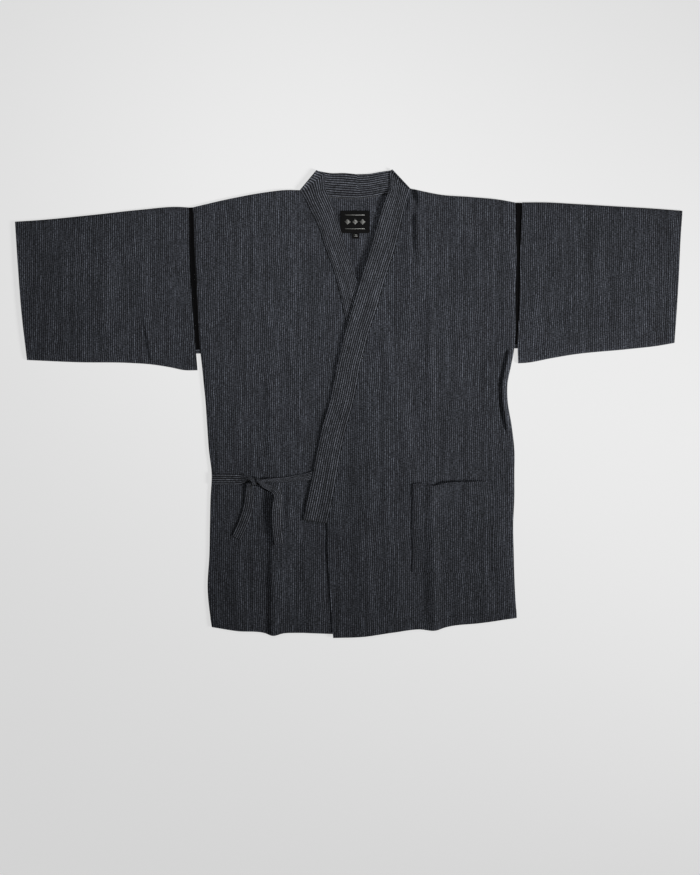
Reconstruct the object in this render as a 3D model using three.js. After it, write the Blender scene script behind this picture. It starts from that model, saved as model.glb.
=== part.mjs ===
// A man's jinbei jacket of crinkled striped cotton, laid out flat on its back.
// +X points to the wearer's left, +Y to the neck, +Z up from the table. All sizes are millimetres.
// The backs lie on the table, the sleeves are flattened tubes beside them, and the fronts lie on
// the backs, the left over the right. Tables give each outline with x from the centre-back seam.
import * as THREE from "three";

const { PI, cos, sin, sqrt, max, min, exp, hypot } = Math;

// Cloth
const CLOTH = 1.2; // one layer of the crinkled cotton
const BAND = 2.0; // the collar, folded double over its seam allowances
const TAPE = 1.4; // a tie, folded to four thin layers and pressed
const LABEL = 1.0; // woven label
const GAP = 0.3; // at a seam, and between layers that lie on each other

// How full the layers lie
const DOME = 1.3; // air under the middle of a front
const NECK_RISE = 1.5; // lift of the fronts round the folded collar
const COLLAR_FOLD = 1.5; // radius of the collar's fold at the neck point
const SLEEVE_FOLD = 1.1; // radius of the sleeve's folded edges
const SLEEVE_DOME = 1.9; // air inside a sleeve
const LACING_FOLD = 0.95; // radius of the lacing's fold on the shoulder
const OVERLAP_MARGIN = 20; // the left front starts down only this far past the right front's edge
const OVERLAP_SLOPE = 30; // and reaches the back over this run

const COLOURS = {
  cotton: { color: 0x34363b, roughness: 0.9, metalness: 0 },
  band: { color: 0x3b3c42, roughness: 0.88, metalness: 0 },
  lacing: { color: 0x08080a, roughness: 0.8, metalness: 0 },
  label: { color: 0x0b0b0c, roughness: 0.6, metalness: 0 },
};

// The body's upright edges at heights y: side seams, and the seam and free edge of each collar
// half, which below the collar's end are the plain edge of the front.
const BODY = [
  { y: 377, sideRight: -288, seamRight: -101, freeRight: -56, freeLeft: 57, seamLeft: 93, sideLeft: 277 },
  { y: 344, sideRight: -287, seamRight: -85, freeRight: -42, freeLeft: 45, seamLeft: 84, sideLeft: 278 },
  { y: 304, sideRight: -285, seamRight: -66, freeRight: -29, freeLeft: 33, seamLeft: 75, sideLeft: 278 },
  { y: 272, sideRight: -284, seamRight: -56, freeRight: -19, freeLeft: 24, seamLeft: 67, sideLeft: 279 },
  { y: 237, sideRight: -282, seamRight: -43, freeRight: -7, freeLeft: 13, seamLeft: 56, sideLeft: 279 },
  { y: 202, sideRight: -280, seamRight: -33, freeRight: 2, freeLeft: 2, seamLeft: 45, sideLeft: 278 },
  { y: 162, sideRight: -278, seamRight: -24, freeRight: 12, freeLeft: -10, seamLeft: 34, sideLeft: 277 },
  { y: 120, sideRight: -276, seamRight: -14, freeRight: 24, freeLeft: -22, seamLeft: 20, sideLeft: 277 },
  { y: 92, sideRight: -274, seamRight: -7, freeRight: 31, freeLeft: -29, seamLeft: 13, sideLeft: 274 },
  { y: 66, sideRight: -271, seamRight: -3, freeRight: 36, freeLeft: -35, seamLeft: 6, sideLeft: 269 },
  { y: 36, sideRight: -268, seamRight: 2, freeRight: 42, freeLeft: -41, seamLeft: 1, sideLeft: 263 },
  { y: 6, sideRight: -265, seamRight: 7, freeRight: 48, freeLeft: -47, seamLeft: -5, sideLeft: 263 },
  { y: -38, sideRight: -262, seamRight: 18, freeRight: 60, freeLeft: -60, seamLeft: -17, sideLeft: 270 },
  { y: -80, sideRight: -259, seamRight: 28, freeRight: 69, freeLeft: -69, seamLeft: -27, sideLeft: 275 },
  { y: -125, sideRight: -254, seamRight: 36, freeRight: 79, freeLeft: -78, seamLeft: -35, sideLeft: 275 },
  { y: -165, sideRight: -256, seamRight: 43, freeRight: 87, freeLeft: -86, seamLeft: -42, sideLeft: 275 },
  { y: -210, sideRight: -257, seamRight: 52, freeRight: 94, freeLeft: -95, seamLeft: -52, sideLeft: 273 },
  { y: -262, sideRight: -258, seamRight: 51, freeRight: 52, freeLeft: -51, seamLeft: -51, sideLeft: 274 },
  { y: -326, sideRight: -261, seamRight: 47, freeRight: 48, freeLeft: -47, seamLeft: -47, sideLeft: 276 },
  { y: -375, sideRight: -256, seamRight: 44, freeRight: 45, freeLeft: -44, seamLeft: -44, sideLeft: 279 },
  { y: -410, sideRight: -250, seamRight: 42, freeRight: 43, freeLeft: -42, seamLeft: -42, sideLeft: 280 },
];
const COLLAR_END = -210; // height of the collar's lower ends
const LACING_CLEAR = 0.45; // the lacing hangs on its stitches a little clear of both edges
const NECK_INSET = 0.5; // a front's corner stands this far from its neck point, clear of the folded collar
const COLLAR_LEAD = 6; // how much higher the collar's free edge is than its seam, straight across

// Shoulder seams, from the neck point to the sleeve
const SHOULDER_RIGHT = [
  { x: -100, y: 373 },
  { x: -126, y: 373 },
  { x: -161, y: 369 },
  { x: -222, y: 358 },
  { x: -287, y: 343 },
];
const SHOULDER_LEFT = [
  { x: 93, y: 376 },
  { x: 119, y: 370 },
  { x: 145, y: 365 },
  { x: 198, y: 361 },
  { x: 250, y: 356 },
  { x: 277, y: 351 },
];

// Hem lines, from the front edge or the centre back to the side seam
const HEM_FRONT_RIGHT = [
  { x: 42, y: -402 },
  { x: -44, y: -403 },
  { x: -104, y: -401 },
  { x: -128, y: -402 },
  { x: -144, y: -406 },
  { x: -160, y: -401 },
  { x: -205, y: -398 },
  { x: -250, y: -391 },
];
const HEM_FRONT_LEFT = [
  { x: -42, y: -410 },
  { x: 10, y: -408 },
  { x: 66, y: -400 },
  { x: 110, y: -395 },
  { x: 138, y: -397 },
  { x: 156, y: -391 },
  { x: 215, y: -384 },
  { x: 279, y: -375 },
];
const HEM_BACK_RIGHT = [
  { x: 0, y: -401 },
  { x: -104, y: -399 },
  { x: -205, y: -396 },
  { x: -249, y: -389 },
];
const HEM_BACK_LEFT = [
  { x: 0, y: -401 },
  { x: 110, y: -393 },
  { x: 215, y: -382 },
  { x: 278, y: -373 },
];

// Back neck: where the collar is sewn to the backs, and the collar's free edge above it
const NECK_SEAM_RIGHT = [
  { x: 0, y: 360 },
  { x: -24, y: 361 },
  { x: -49, y: 363 },
  { x: -74, y: 367 },
  { x: -98, y: 372 },
];
const NECK_SEAM_LEFT = [
  { x: 0, y: 360 },
  { x: 26, y: 363 },
  { x: 51, y: 368 },
  { x: 72, y: 371 },
  { x: 91, y: 375 },
];
const NECK_FREE_RIGHT = [
  { x: 0, y: 401 },
  { x: -21, y: 403 },
  { x: -46, y: 403 },
  { x: -69, y: 407 },
];
const NECK_FREE_LEFT = [
  { x: 0, y: 401 },
  { x: 23, y: 402 },
  { x: 40, y: 405 },
  { x: 60, y: 408 },
];

// Sleeves: the fold along the top, the seam below, the cuff, and the edge that the lacing joins
const SLEEVE_RIGHT = {
  top: [
    { x: -294, y: 343 },
    { x: -310, y: 344 },
    { x: -379, y: 339 },
    { x: -461, y: 330 },
    { x: -566, y: 320 },
    { x: -598, y: 318 },
  ],
  bottom: [
    { x: -279, y: 58 },
    { x: -301, y: 58 },
    { x: -326, y: 63 },
    { x: -358, y: 68 },
    { x: -402, y: 71 },
    { x: -484, y: 72 },
    { x: -577, y: 76 },
  ],
  cuff: [
    { x: -598, y: 318 },
    { x: -593, y: 242 },
    { x: -587, y: 163 },
    { x: -577, y: 76 },
  ],
  armhole: [
    { x: -294, y: 343 },
    { x: -291, y: 225 },
    { x: -287, y: 162 },
    { x: -282, y: 95 },
    { x: -279, y: 58 },
  ],
};
const SLEEVE_LEFT = {
  top: [
    { x: 289, y: 352 },
    { x: 328, y: 352 },
    { x: 384, y: 349 },
    { x: 451, y: 345 },
    { x: 518, y: 341 },
    { x: 569, y: 337 },
  ],
  bottom: [
    { x: 282, y: 70 },
    { x: 297, y: 71 },
    { x: 340, y: 79 },
    { x: 375, y: 85 },
    { x: 474, y: 95 },
    { x: 527, y: 101 },
    { x: 555, y: 106 },
  ],
  cuff: [
    { x: 569, y: 337 },
    { x: 566, y: 295 },
    { x: 562, y: 213 },
    { x: 555, y: 106 },
  ],
  armhole: [
    { x: 289, y: 352 },
    { x: 286, y: 269 },
    { x: 284, y: 162 },
    { x: 281, y: 104 },
    { x: 282, y: 70 },
  ],
};
const ARMPIT_RIGHT = 95; // height of the lacing's lower end
const ARMPIT_LEFT = 104;
const STAY_DEPTH = 8; // the stay under it, down the edge

// Folds: a ridge from one point of x and y to another, its height, how far it runs out on its -X
// and +X sides, and the lengths over which it fades in and out. One that reaches a hem or shoulder
// has no fade there.
const FOLDS_RIGHT = [
  { from: [-152, 90], to: [-155, -150], height: 1.2, minus: 7, plus: 16, fades: [90, 60] }, // pressed crease
  { from: [-150, -158], to: [-149, -410], height: 2.8, minus: 12, plus: 26, fades: [50, 0] }, // under knot
  { from: [-236, 70], to: [-206, -60], height: 0.9, minus: 14, plus: 12, fades: [40, 40] }, // chest, outer
  { from: [-250, 330], to: [-196, 150], height: 1.0, minus: 20, plus: 24, fades: [40, 80] }, // shoulder drag
  { from: [-246, -100], to: [-222, -118], height: 1.0, minus: 9, plus: 9, fades: [8, 12] }, // by the tie
  { from: [-214, -250], to: [-208, -405], height: 1.1, minus: 18, plus: 15, fades: [70, 0] }, // hem, outer
];
const FOLDS_LEFT = [
  { from: [128, 230], to: [132, -120], height: 1.0, minus: 15, plus: 7, fades: [100, 60] }, // pressed crease
  { from: [131, -100], to: [137, -410], height: 2.6, minus: 18, plus: 12, fades: [70, 0] }, // in pocket
  { from: [112, 392], to: [113, 290], height: 1.6, minus: 6, plus: 13, fades: [0, 70] }, // neck point
  { from: [236, 330], to: [208, 140], height: 1.1, minus: 22, plus: 26, fades: [40, 80] }, // shoulder drag
  { from: [70, 150], to: [84, -30], height: 0.9, minus: 18, plus: 20, fades: [60, 60] }, // breast
  { from: [222, -300], to: [232, -400], height: 1.0, minus: 18, plus: 16, fades: [50, 0] }, // hem, outer
];
// The left side seam rolls forward into a soft tuck between these heights.
const TUCK = { top: 96, bottom: -50, fade: 22, inFromEdge: 8, reach: 5.5, height: 2.6 };
const FOLDS_SLEEVE_RIGHT = [
  { from: [-377, 170], to: [-357, 60], height: 1.0, minus: 14, plus: 7, fades: [60, 0] }, // elbow crease
  { from: [-520, 300], to: [-505, 150], height: 0.5, minus: 26, plus: 26, fades: [50, 60] }, // cuff swell
];
const FOLDS_SLEEVE_LEFT = [
  { from: [346, 345], to: [348, 165], height: 0.9, minus: 9, plus: 16, fades: [20, 60] }, // elbow crease
  { from: [486, 270], to: [474, 130], height: 0.5, minus: 24, plus: 28, fades: [50, 50] }, // cuff swell
];

// Patch pocket on the left front, and how far its mouth stands open
const POCKET = { left: 97, right: 236, bottomLeft: -295, bottomRight: -297, clear: 0.35, gape: 1.0 };
const POCKET_GRID = { columns: 8, rows: 8 };
const POCKET_MOUTH = [
  { x: 97, y: -141 },
  { x: 116, y: -140 },
  { x: 131, y: -144 },
  { x: 150, y: -140 },
  { x: 198, y: -137 },
  { x: 228, y: -138 },
  { x: 236, y: -141 },
];

const NECK_LABEL = { left: -29, right: 22, bottom: 298, top: 337 };
const SIZE_TAB = { left: -9, right: 4, bottom: 288.5, top: 297.7 };

// The ties, knotted once. Stations give the middle of the tape from the knot's centre, its height
// over the right front, its width, the bearing of its width across the cloth, and its thickness.
const KNOT = { x: -176, y: -136, liftedFrom: 2.4 };
const TIE_SIDE = [
  { x: -77, y: 3, lift: 1.0, width: 19, bearing: 90, thick: TAPE },
  { x: -52, y: 3, lift: 1.0, width: 19, bearing: 90, thick: TAPE },
  { x: -32, y: 2.8, lift: 1.1, width: 18, bearing: 90, thick: TAPE },
  { x: -21, y: 3.5, lift: 2.6, width: 13, bearing: 88, thick: TAPE },
  { x: -14, y: 5.4, lift: 5.0, width: 8.5, bearing: 80, thick: TAPE },
  { x: -8.5, y: 4.6, lift: 6.4, width: 7, bearing: 55, thick: TAPE },
  { x: -5, y: 0, lift: 6.9, width: 6.5, bearing: 25, thick: TAPE },
  { x: -3.4, y: -4.4, lift: 6.3, width: 6.5, bearing: 8, thick: TAPE },
  { x: -2.6, y: -5.5, lift: 3.9, width: 6.5, bearing: 0, thick: TAPE },
  { x: -1.4, y: -4.4, lift: 1.5, width: 6.5, bearing: -8, thick: TAPE },
  { x: 0.4, y: 0, lift: 1.0, width: 6.5, bearing: -18, thick: TAPE },
  { x: 2.0, y: 4.4, lift: 1.5, width: 6.5, bearing: -8, thick: TAPE },
  { x: 2.8, y: 5.5, lift: 3.9, width: 6.5, bearing: 0, thick: TAPE },
  { x: 3.8, y: 4.4, lift: 6.3, width: 6.5, bearing: 8, thick: TAPE },
  { x: 6, y: 0, lift: 6.9, width: 6.5, bearing: 27, thick: TAPE },
  { x: 10.5, y: -4.5, lift: 6.2, width: 8, bearing: 46, thick: TAPE },
  { x: 16, y: -8, lift: 4.7, width: 9.5, bearing: 57, thick: TAPE },
  { x: 24.5, y: -12, lift: 2.7, width: 10.5, bearing: 58, thick: TAPE },
  { x: 33, y: -16.8, lift: 1.9, width: 12.5, bearing: 48, thick: TAPE },
  { x: 37.5, y: -25.3, lift: 1.6, width: 14.5, bearing: 22, thick: TAPE },
  { x: 36.8, y: -38, lift: 1.5, width: 16, bearing: 2, thick: TAPE },
  { x: 35.3, y: -58, lift: 1.4, width: 16.5, bearing: -3, thick: TAPE },
  { x: 36.5, y: -84, lift: 1.4, width: 16.5, bearing: 4, thick: TAPE },
  { x: 39.8, y: -110, lift: 1.4, width: 16.5, bearing: 8, thick: TAPE },
];
const TIE_FRONT = [
  { x: 97.2, y: 10.5, lift: 1.0, width: 15, bearing: 79, thick: TAPE },
  { x: 86, y: 7.5, lift: 1.0, width: 12.5, bearing: 97, thick: TAPE },
  { x: 71, y: 6, lift: 1.0, width: 10.5, bearing: 100, thick: TAPE },
  { x: 54, y: 3.4, lift: 1.1, width: 8.5, bearing: 95, thick: TAPE },
  { x: 36, y: 1.6, lift: 1.7, width: 8.5, bearing: 92, thick: 1.8 },
  { x: 20, y: 1.4, lift: 2.9, width: 6.5, bearing: 90, thick: 2.2 },
  { x: 8, y: 0, lift: 3.9, width: 6.5, bearing: 90, thick: 2.2 },
  { x: 0, y: 0, lift: 3.9, width: 6.5, bearing: 90, thick: 2.2 },
  { x: -7, y: -1, lift: 3.7, width: 6.5, bearing: 105, thick: 2.2 },
  { x: -11.5, y: -6.5, lift: 2.8, width: 8.5, bearing: 135, thick: 2.0 },
  { x: -12, y: -15, lift: 1.6, width: 12.5, bearing: 160, thick: 1.6 },
  { x: -11.5, y: -27.5, lift: 1.1, width: 16.5, bearing: 165, thick: TAPE },
  { x: -15, y: -50, lift: 1.0, width: 17.5, bearing: 163, thick: TAPE },
  { x: -23.5, y: -75, lift: 1.0, width: 17.5, bearing: 158, thick: TAPE },
  { x: -34.5, y: -99, lift: 1.0, width: 17.5, bearing: 155, thick: TAPE },
];

// Mesh rows, as distances from an edge or seam where the cloth turns over, and even steps between
const ROLL_STEPS = [0, 2, 6, 14];
const FRONT_GRID = { above: 23, below: 7, columns: 15, width: 240 };
const SLEEVE_GRID = { stations: 13, across: 9 };
const COLLAR_GRID = { back: 7, across: 3 };
const FOLD_TURNS = [-0.25 * PI, 0, 0.25 * PI]; // sections round a fold, from the lower layer to the upper

// Tools for tables, curves and walls

// 0 before `from`, 1 after `to`, and smooth between them
const rise = (value, from, to) => THREE.MathUtils.smoothstep(value, from, to);

// A quarter round: 0 at an edge, 1 from `reach` inwards
const roundIn = (distance, reach) => {
  const left = 1 - min(max(distance / reach, 0), 1);
  return sqrt(max(0, 1 - left * left));
};

// The value of a column where another column, which rises or falls all the way, has a given value
function lookup(rows, key, column, value) {
  const falling = rows[0][key] > rows[rows.length - 1][key];
  let i = 0;
  while (i < rows.length - 2 && (falling ? rows[i + 1][key] > value : rows[i + 1][key] < value)) i += 1;
  const [a, b] = [rows[i], rows[i + 1]];
  const share = min(max((value - a[key]) / (b[key] - a[key]), 0), 1);
  return a[column] + (b[column] - a[column]) * share;
}

const bodyEdge = (column, y) => lookup(BODY, "y", column, y);

// A smooth curve through rows of x and y. It gives the point at a share of its length.
function curve(rows) {
  const spline = new THREE.SplineCurve(rows.map(({ x, y }) => new THREE.Vector2(x, y)));
  return (share) => spline.getPointAt(min(max(share, 0), 1));
}

// An upright edge between two heights, read from a table by height and moved sideways by a gap
const uprightEdge = (rows, column, top, bottom, shift = 0) => (share) => {
  const y = top + (bottom - top) * share;
  return new THREE.Vector2(lookup(rows, "y", column, y) + shift, y);
};

// A point between four edge curves: `across` goes from inner to outer, `down` from top to bottom.
function patchPoint({ top, bottom, inner, outer }, across, down) {
  const point = new THREE.Vector2();
  point.addScaledVector(top(across), 1 - down).addScaledVector(bottom(across), down);
  point.addScaledVector(inner(down), 1 - across).addScaledVector(outer(down), across);
  point.addScaledVector(top(0), -(1 - across) * (1 - down)).addScaledVector(top(1), -across * (1 - down));
  point.addScaledVector(bottom(0), -(1 - across) * down).addScaledVector(bottom(1), -across * down);
  return point;
}

// Closes a grid of middle points into a wall: two skins, and a rim along each open border.
// A ring's columns close on themselves. Thickness is one number, or one for each row.
function wall(grid, thickness, ring = false) {
  const rows = grid.length;
  const columns = grid[0].length;
  const clampRow = (r) => min(max(r, 0), rows - 1);
  const step = (c) => (ring ? (c + columns) % columns : min(max(c, 0), columns - 1));
  const positions = [];
  for (const half of [0.5, -0.5]) {
    for (let r = 0; r < rows; r += 1) {
      const offset = half * (Array.isArray(thickness) ? thickness[r] : thickness);
      for (let c = 0; c < columns; c += 1) {
        const alongRows = grid[clampRow(r + 1)][c].clone().sub(grid[clampRow(r - 1)][c]);
        const alongColumns = grid[r][step(c + 1)].clone().sub(grid[r][step(c - 1)]);
        const normal = alongRows.cross(alongColumns).normalize();
        positions.push(...grid[r][c].clone().addScaledVector(normal, offset).toArray());
      }
    }
  }
  const index = [];
  const at = (skin, r, c) => (skin * rows + r) * columns + step(c);
  const quad = (a, b, c, d) => index.push(a, b, c, a, c, d);
  const lastColumn = ring ? columns : columns - 1;
  for (let c = 0; c < lastColumn; c += 1) {
    for (let r = 0; r < rows - 1; r += 1) {
      quad(at(0, r, c), at(0, r + 1, c), at(0, r + 1, c + 1), at(0, r, c + 1));
      quad(at(1, r, c), at(1, r, c + 1), at(1, r + 1, c + 1), at(1, r + 1, c));
    }
    quad(at(0, 0, c), at(0, 0, c + 1), at(1, 0, c + 1), at(1, 0, c));
    quad(at(0, rows - 1, c + 1), at(0, rows - 1, c), at(1, rows - 1, c), at(1, rows - 1, c + 1));
  }
  if (!ring) {
    for (let r = 0; r < rows - 1; r += 1) {
      const end = columns - 1;
      quad(at(0, r + 1, 0), at(0, r, 0), at(1, r, 0), at(1, r + 1, 0));
      quad(at(0, r, end), at(0, r + 1, end), at(1, r + 1, end), at(1, r, end));
    }
  }
  const geometry = new THREE.BufferGeometry();
  geometry.setAttribute("position", new THREE.Float32BufferAttribute(positions, 3));
  geometry.setIndex(index);
  geometry.computeVertexNormals();
  return geometry;
}

// A flat layer of an outline, its underside at a height
function slab(points, thickness, underside) {
  const shape = new THREE.Shape(points);
  const geometry = new THREE.ExtrudeGeometry(shape, { depth: thickness, bevelEnabled: false });
  return geometry.translate(0, 0, underside);
}

function addPiece(group, name, geometry, finish) {
  const mesh = new THREE.Mesh(geometry, new THREE.MeshStandardMaterial(COLOURS[finish]));
  mesh.name = name;
  group.add(mesh);
  return mesh;
}

// Even steps from one share to another
const evenShares = (from, to, count) =>
  Array.from({ length: count + 1 }, (_, i) => from + ((to - from) * i) / count);

// The rows of one side of the body, as shares of the height from the neck point to the hem. They
// are fine below the shoulder, and one falls on the collar's lower end. What is sewn to the body's
// edges uses the same rows.
function bodyRows({ neckY, hemY }) {
  const height = neckY - hemY;
  const fine = ROLL_STEPS.map((distance) => distance / height);
  const collarEnd = (neckY - COLLAR_END) / height;
  const above = evenShares(fine[fine.length - 1], collarEnd, FRONT_GRID.above);
  const below = evenShares(collarEnd, 1, FRONT_GRID.below);
  return [...fine.slice(0, -1), ...above, ...below.slice(1)];
}

// The columns of a front, from the collar to the side seam, fine where the edge rolls over
function bodyColumns() {
  const fine = ROLL_STEPS.map((distance) => distance / FRONT_GRID.width).reverse();
  return [...evenShares(0, 1 - fine[0], FRONT_GRID.columns), ...fine.slice(1).map((share) => 1 - share)];
}

// How the layers lie

// The height that a table of folds adds at a point
function foldHeight(folds, x, y) {
  let height = 0;
  for (const fold of folds) {
    const [fromX, fromY] = fold.from;
    const [toX, toY] = fold.to;
    const [fadeIn, fadeOut] = fold.fades;
    const length = hypot(toX - fromX, toY - fromY);
    const along = { x: (toX - fromX) / length, y: (toY - fromY) / length };
    const run = (x - fromX) * along.x + (y - fromY) * along.y;
    const off = (x - fromX) * -along.y + (y - fromY) * along.x;
    const toPlus = off * -Math.sign(along.y) > 0;
    const reach = toPlus ? fold.plus : fold.minus;
    const starts = fadeIn ? rise(run, 0, fadeIn) : 1;
    const ends = fadeOut ? rise(length - run, 0, fadeOut) : 1;
    height += fold.height * exp(-((off / reach) ** 2)) * starts * ends;
  }
  return height;
}

// The lift round the neck, which the collar's fold needs
const neckRise = (x, y) => NECK_RISE * rise(y, 150, 285) * (1 - rise(Math.abs(x), 120, 240));

// Clear height over the back, on the right front: the seams at the side and shoulder hold it down,
// and so does the left front that lies on it.
function rightPuff(x, y) {
  const fromSide = x - bodyEdge("sideRight", y);
  const fromShoulder = lookup(SHOULDER_RIGHT, "x", "y", x) - y;
  const cover = min(bodyEdge("seamRight", y), bodyEdge("freeLeft", y)) - 6;
  const held = roundIn(fromSide, 16) * roundIn(fromShoulder, 12);
  const open = rise(cover - x, 0, 60);
  return held * (DOME * open + neckRise(x, y) + foldHeight(FOLDS_RIGHT, x, y) * rise(cover - x, 0, 15));
}

// On the left front the side seam also rolls into a tuck.
function leftPuff(x, y) {
  const fromSide = bodyEdge("sideLeft", y) - x;
  const fromShoulder = lookup(SHOULDER_LEFT, "x", "y", x) - y;
  const held = roundIn(fromSide, 16) * roundIn(fromShoulder, 12);
  const open = rise(x - bodyEdge("seamLeft", y), 0, 60);
  const tuck = TUCK.height * exp(-(((fromSide - TUCK.inFromEdge) / TUCK.reach) ** 2));
  const tuckRuns = rise(TUCK.top - y, 0, TUCK.fade) * rise(y - TUCK.bottom, 0, TUCK.fade);
  return held * (DOME * open + neckRise(x, y) + foldHeight(FOLDS_LEFT, x, y)) + tuck * tuckRuns;
}

// What the left front lies on, over the back: the right front, and on that the right collar half
function overlap(x, y) {
  const free = bodyEdge("freeRight", y) + OVERLAP_MARGIN;
  const seam = bodyEdge("seamRight", y) - OVERLAP_MARGIN;
  const collar = (BAND - CLOTH) * rise(y, COLLAR_END - 50, COLLAR_END - 15);
  const pastFree = 1 - rise(x, free, free + OVERLAP_SLOPE);
  const beforeSeam = 1 - rise(x, seam - OVERLAP_SLOPE, seam);
  return (CLOTH + GAP + collar) * pastFree - collar * beforeSeam;
}

const ON_BACK = CLOTH + GAP;
const rightUnderside = (x, y) => ON_BACK + rightPuff(x, y);
const leftUnderside = (x, y) => ON_BACK + overlap(x, y) + leftPuff(x, y);

// The pieces

// A back half: one flat layer from the centre-back seam to the side seam
function backHalf({ neckSeam, shoulder, backHem, side, sign, ...body }) {
  const neck = curve(neckSeam);
  const top = curve(shoulder);
  const bottom = curve(backHem);
  const down = uprightEdge(BODY, side, shoulder[shoulder.length - 1].y, backHem[backHem.length - 1].y);
  const outline = [
    ...evenShares(0, 1, 8).map((share) => neck(share).setY(neck(share).y - GAP)),
    ...evenShares(0, 1, 8).slice(1).map(top),
    ...bodyRows(body).slice(1).map(down),
    ...evenShares(1, 0, 10).slice(1).map(bottom),
  ];
  return outline.map(({ x, y }) => new THREE.Vector2(sign > 0 ? max(x, GAP / 2) : min(x, -GAP / 2), y));
}

// A front: a wall from the shoulder seam to the hem, and from the collar to the side seam
function front({ shoulder, frontHem, seam, side, sign, underside, ...body }) {
  const inset = sign * GAP;
  const top = curve(shoulder.map(({ x, y }, i) => ({ x: i ? x : x + sign * NECK_INSET, y })));
  const onCollar = uprightEdge(BODY, seam, body.neckY, body.hemY, inset);
  const edges = {
    top,
    bottom: curve(frontHem.map(({ x, y }, i) => ({ x: i ? x : x + inset, y }))),
    inner: (down) => (down ? onCollar(down) : top(0)),
    outer: uprightEdge(BODY, side, shoulder[shoulder.length - 1].y, frontHem[frontHem.length - 1].y),
  };
  return bodyRows(body).map((down) =>
    bodyColumns().map((across) => {
      const { x, y } = patchPoint(edges, across, down);
      return new THREE.Vector3(x, y, underside(x, y) + CLOTH / 2);
    }),
  );
}

// A sleeve: a tube pressed flat, with round folds along its top and its seam, open at both ends
function sleeve(outline, folds, sign) {
  const [shoulderPoint, underarm] = [outline.armhole[0], outline.armhole[outline.armhole.length - 1]];
  const edges = {
    top: uprightEdge(outline.armhole, "x", shoulderPoint.y, underarm.y),
    bottom: curve(outline.cuff),
    inner: curve(outline.top),
    outer: curve(outline.bottom),
  };
  const inFold = SLEEVE_FOLD + CLOTH / 2;
  const rows = [];
  for (let station = 0; station <= SLEEVE_GRID.stations; station += 1) {
    const along = station / SLEEVE_GRID.stations;
    const crest = patchPoint(edges, 0, along);
    const seam = patchPoint(edges, 1, along);
    const upward = crest.clone().sub(seam).normalize();
    const depth = crest.distanceTo(seam);
    const flat = (share) => patchPoint(edges, 1 - (inFold + (depth - 2 * inFold) * share) / depth, along);
    const low = [];
    const high = [];
    for (let i = 0; i <= SLEEVE_GRID.across; i += 1) {
      const share = i / SLEEVE_GRID.across;
      const { x, y } = flat(share);
      const round = roundIn(min(share, 1 - share) * depth, 45);
      const full = SLEEVE_DOME * round * (0.35 + 0.65 * sin(PI * min(max(along, 0.12), 0.94)));
      const lift = 2 * SLEEVE_FOLD + full + round * foldHeight(folds, x, y);
      low.push(new THREE.Vector3(x, y, CLOTH / 2));
      high.unshift(new THREE.Vector3(x, y, CLOTH / 2 + lift));
    }
    const turn = (middle, outward, angle) =>
      new THREE.Vector3(
        middle.x + outward * upward.x * SLEEVE_FOLD * cos(angle),
        middle.y + outward * upward.y * SLEEVE_FOLD * cos(angle),
        CLOTH / 2 + SLEEVE_FOLD * (1 + sin(angle)),
      );
    const overTop = FOLD_TURNS.map((angle) => turn(low[low.length - 1], 1, angle));
    const overSeam = [...FOLD_TURNS].reverse().map((angle) => turn(low[0], -1, angle));
    const ring = [...low, ...overTop, ...high, ...overSeam];
    rows.push(sign > 0 ? ring : ring.reverse());
  }
  return rows;
}

// A collar half: a band from the centre-back seam along the back neck, folded over at the neck
// point, and down the front edge to its end
function collar({ neckSeam, neckFree, seam, free, sign, underside, ...body }) {
  const fromCentre = ({ x, y }, i) => ({ x: i ? x : (sign * GAP) / 2, y });
  const backSeam = curve(neckSeam.map(fromCentre));
  const backFree = curve(neckFree.map(fromCentre));
  const section = (onSeam, onFree, height) =>
    evenShares(0, 1, COLLAR_GRID.across).map((share) => {
      const { x, y } = onSeam.clone().lerp(onFree, share);
      return new THREE.Vector3(x, y, height(x, y));
    });
  const alongBack = evenShares(0, 1, COLLAR_GRID.back);
  const rows = alongBack.map((share) => section(backSeam(share), backFree(share), () => BAND / 2));
  const crease = backFree(1).sub(backSeam(1)).normalize();
  const outward = new THREE.Vector2(sign * crease.y, -sign * crease.x);
  for (const angle of FOLD_TURNS) {
    const shift = outward.clone().multiplyScalar(COLLAR_FOLD * cos(angle));
    const height = BAND / 2 + COLLAR_FOLD * (1 + sin(angle));
    rows.push(section(backSeam(1).add(shift), backFree(1).add(shift), () => height));
  }
  const leadAtNeck = backFree(1).y - body.neckY;
  for (const share of bodyRows(body)) {
    const y = body.neckY + (body.hemY - body.neckY) * share;
    if (y < COLLAR_END - 0.01) break;
    const run = (body.neckY - y) / (body.neckY - COLLAR_END);
    const freeY = y + COLLAR_LEAD + (leadAtNeck - COLLAR_LEAD) * (1 - run) ** 3;
    const onSeam = new THREE.Vector2(bodyEdge(seam, y), y);
    const onFree = run ? new THREE.Vector2(bodyEdge(free, freeY), freeY) : backFree(1);
    rows.push(section(onSeam, onFree, (px, py) => underside(px, py) + BAND / 2));
  }
  return sign > 0 ? rows : rows.map((row) => row.reverse());
}

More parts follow.
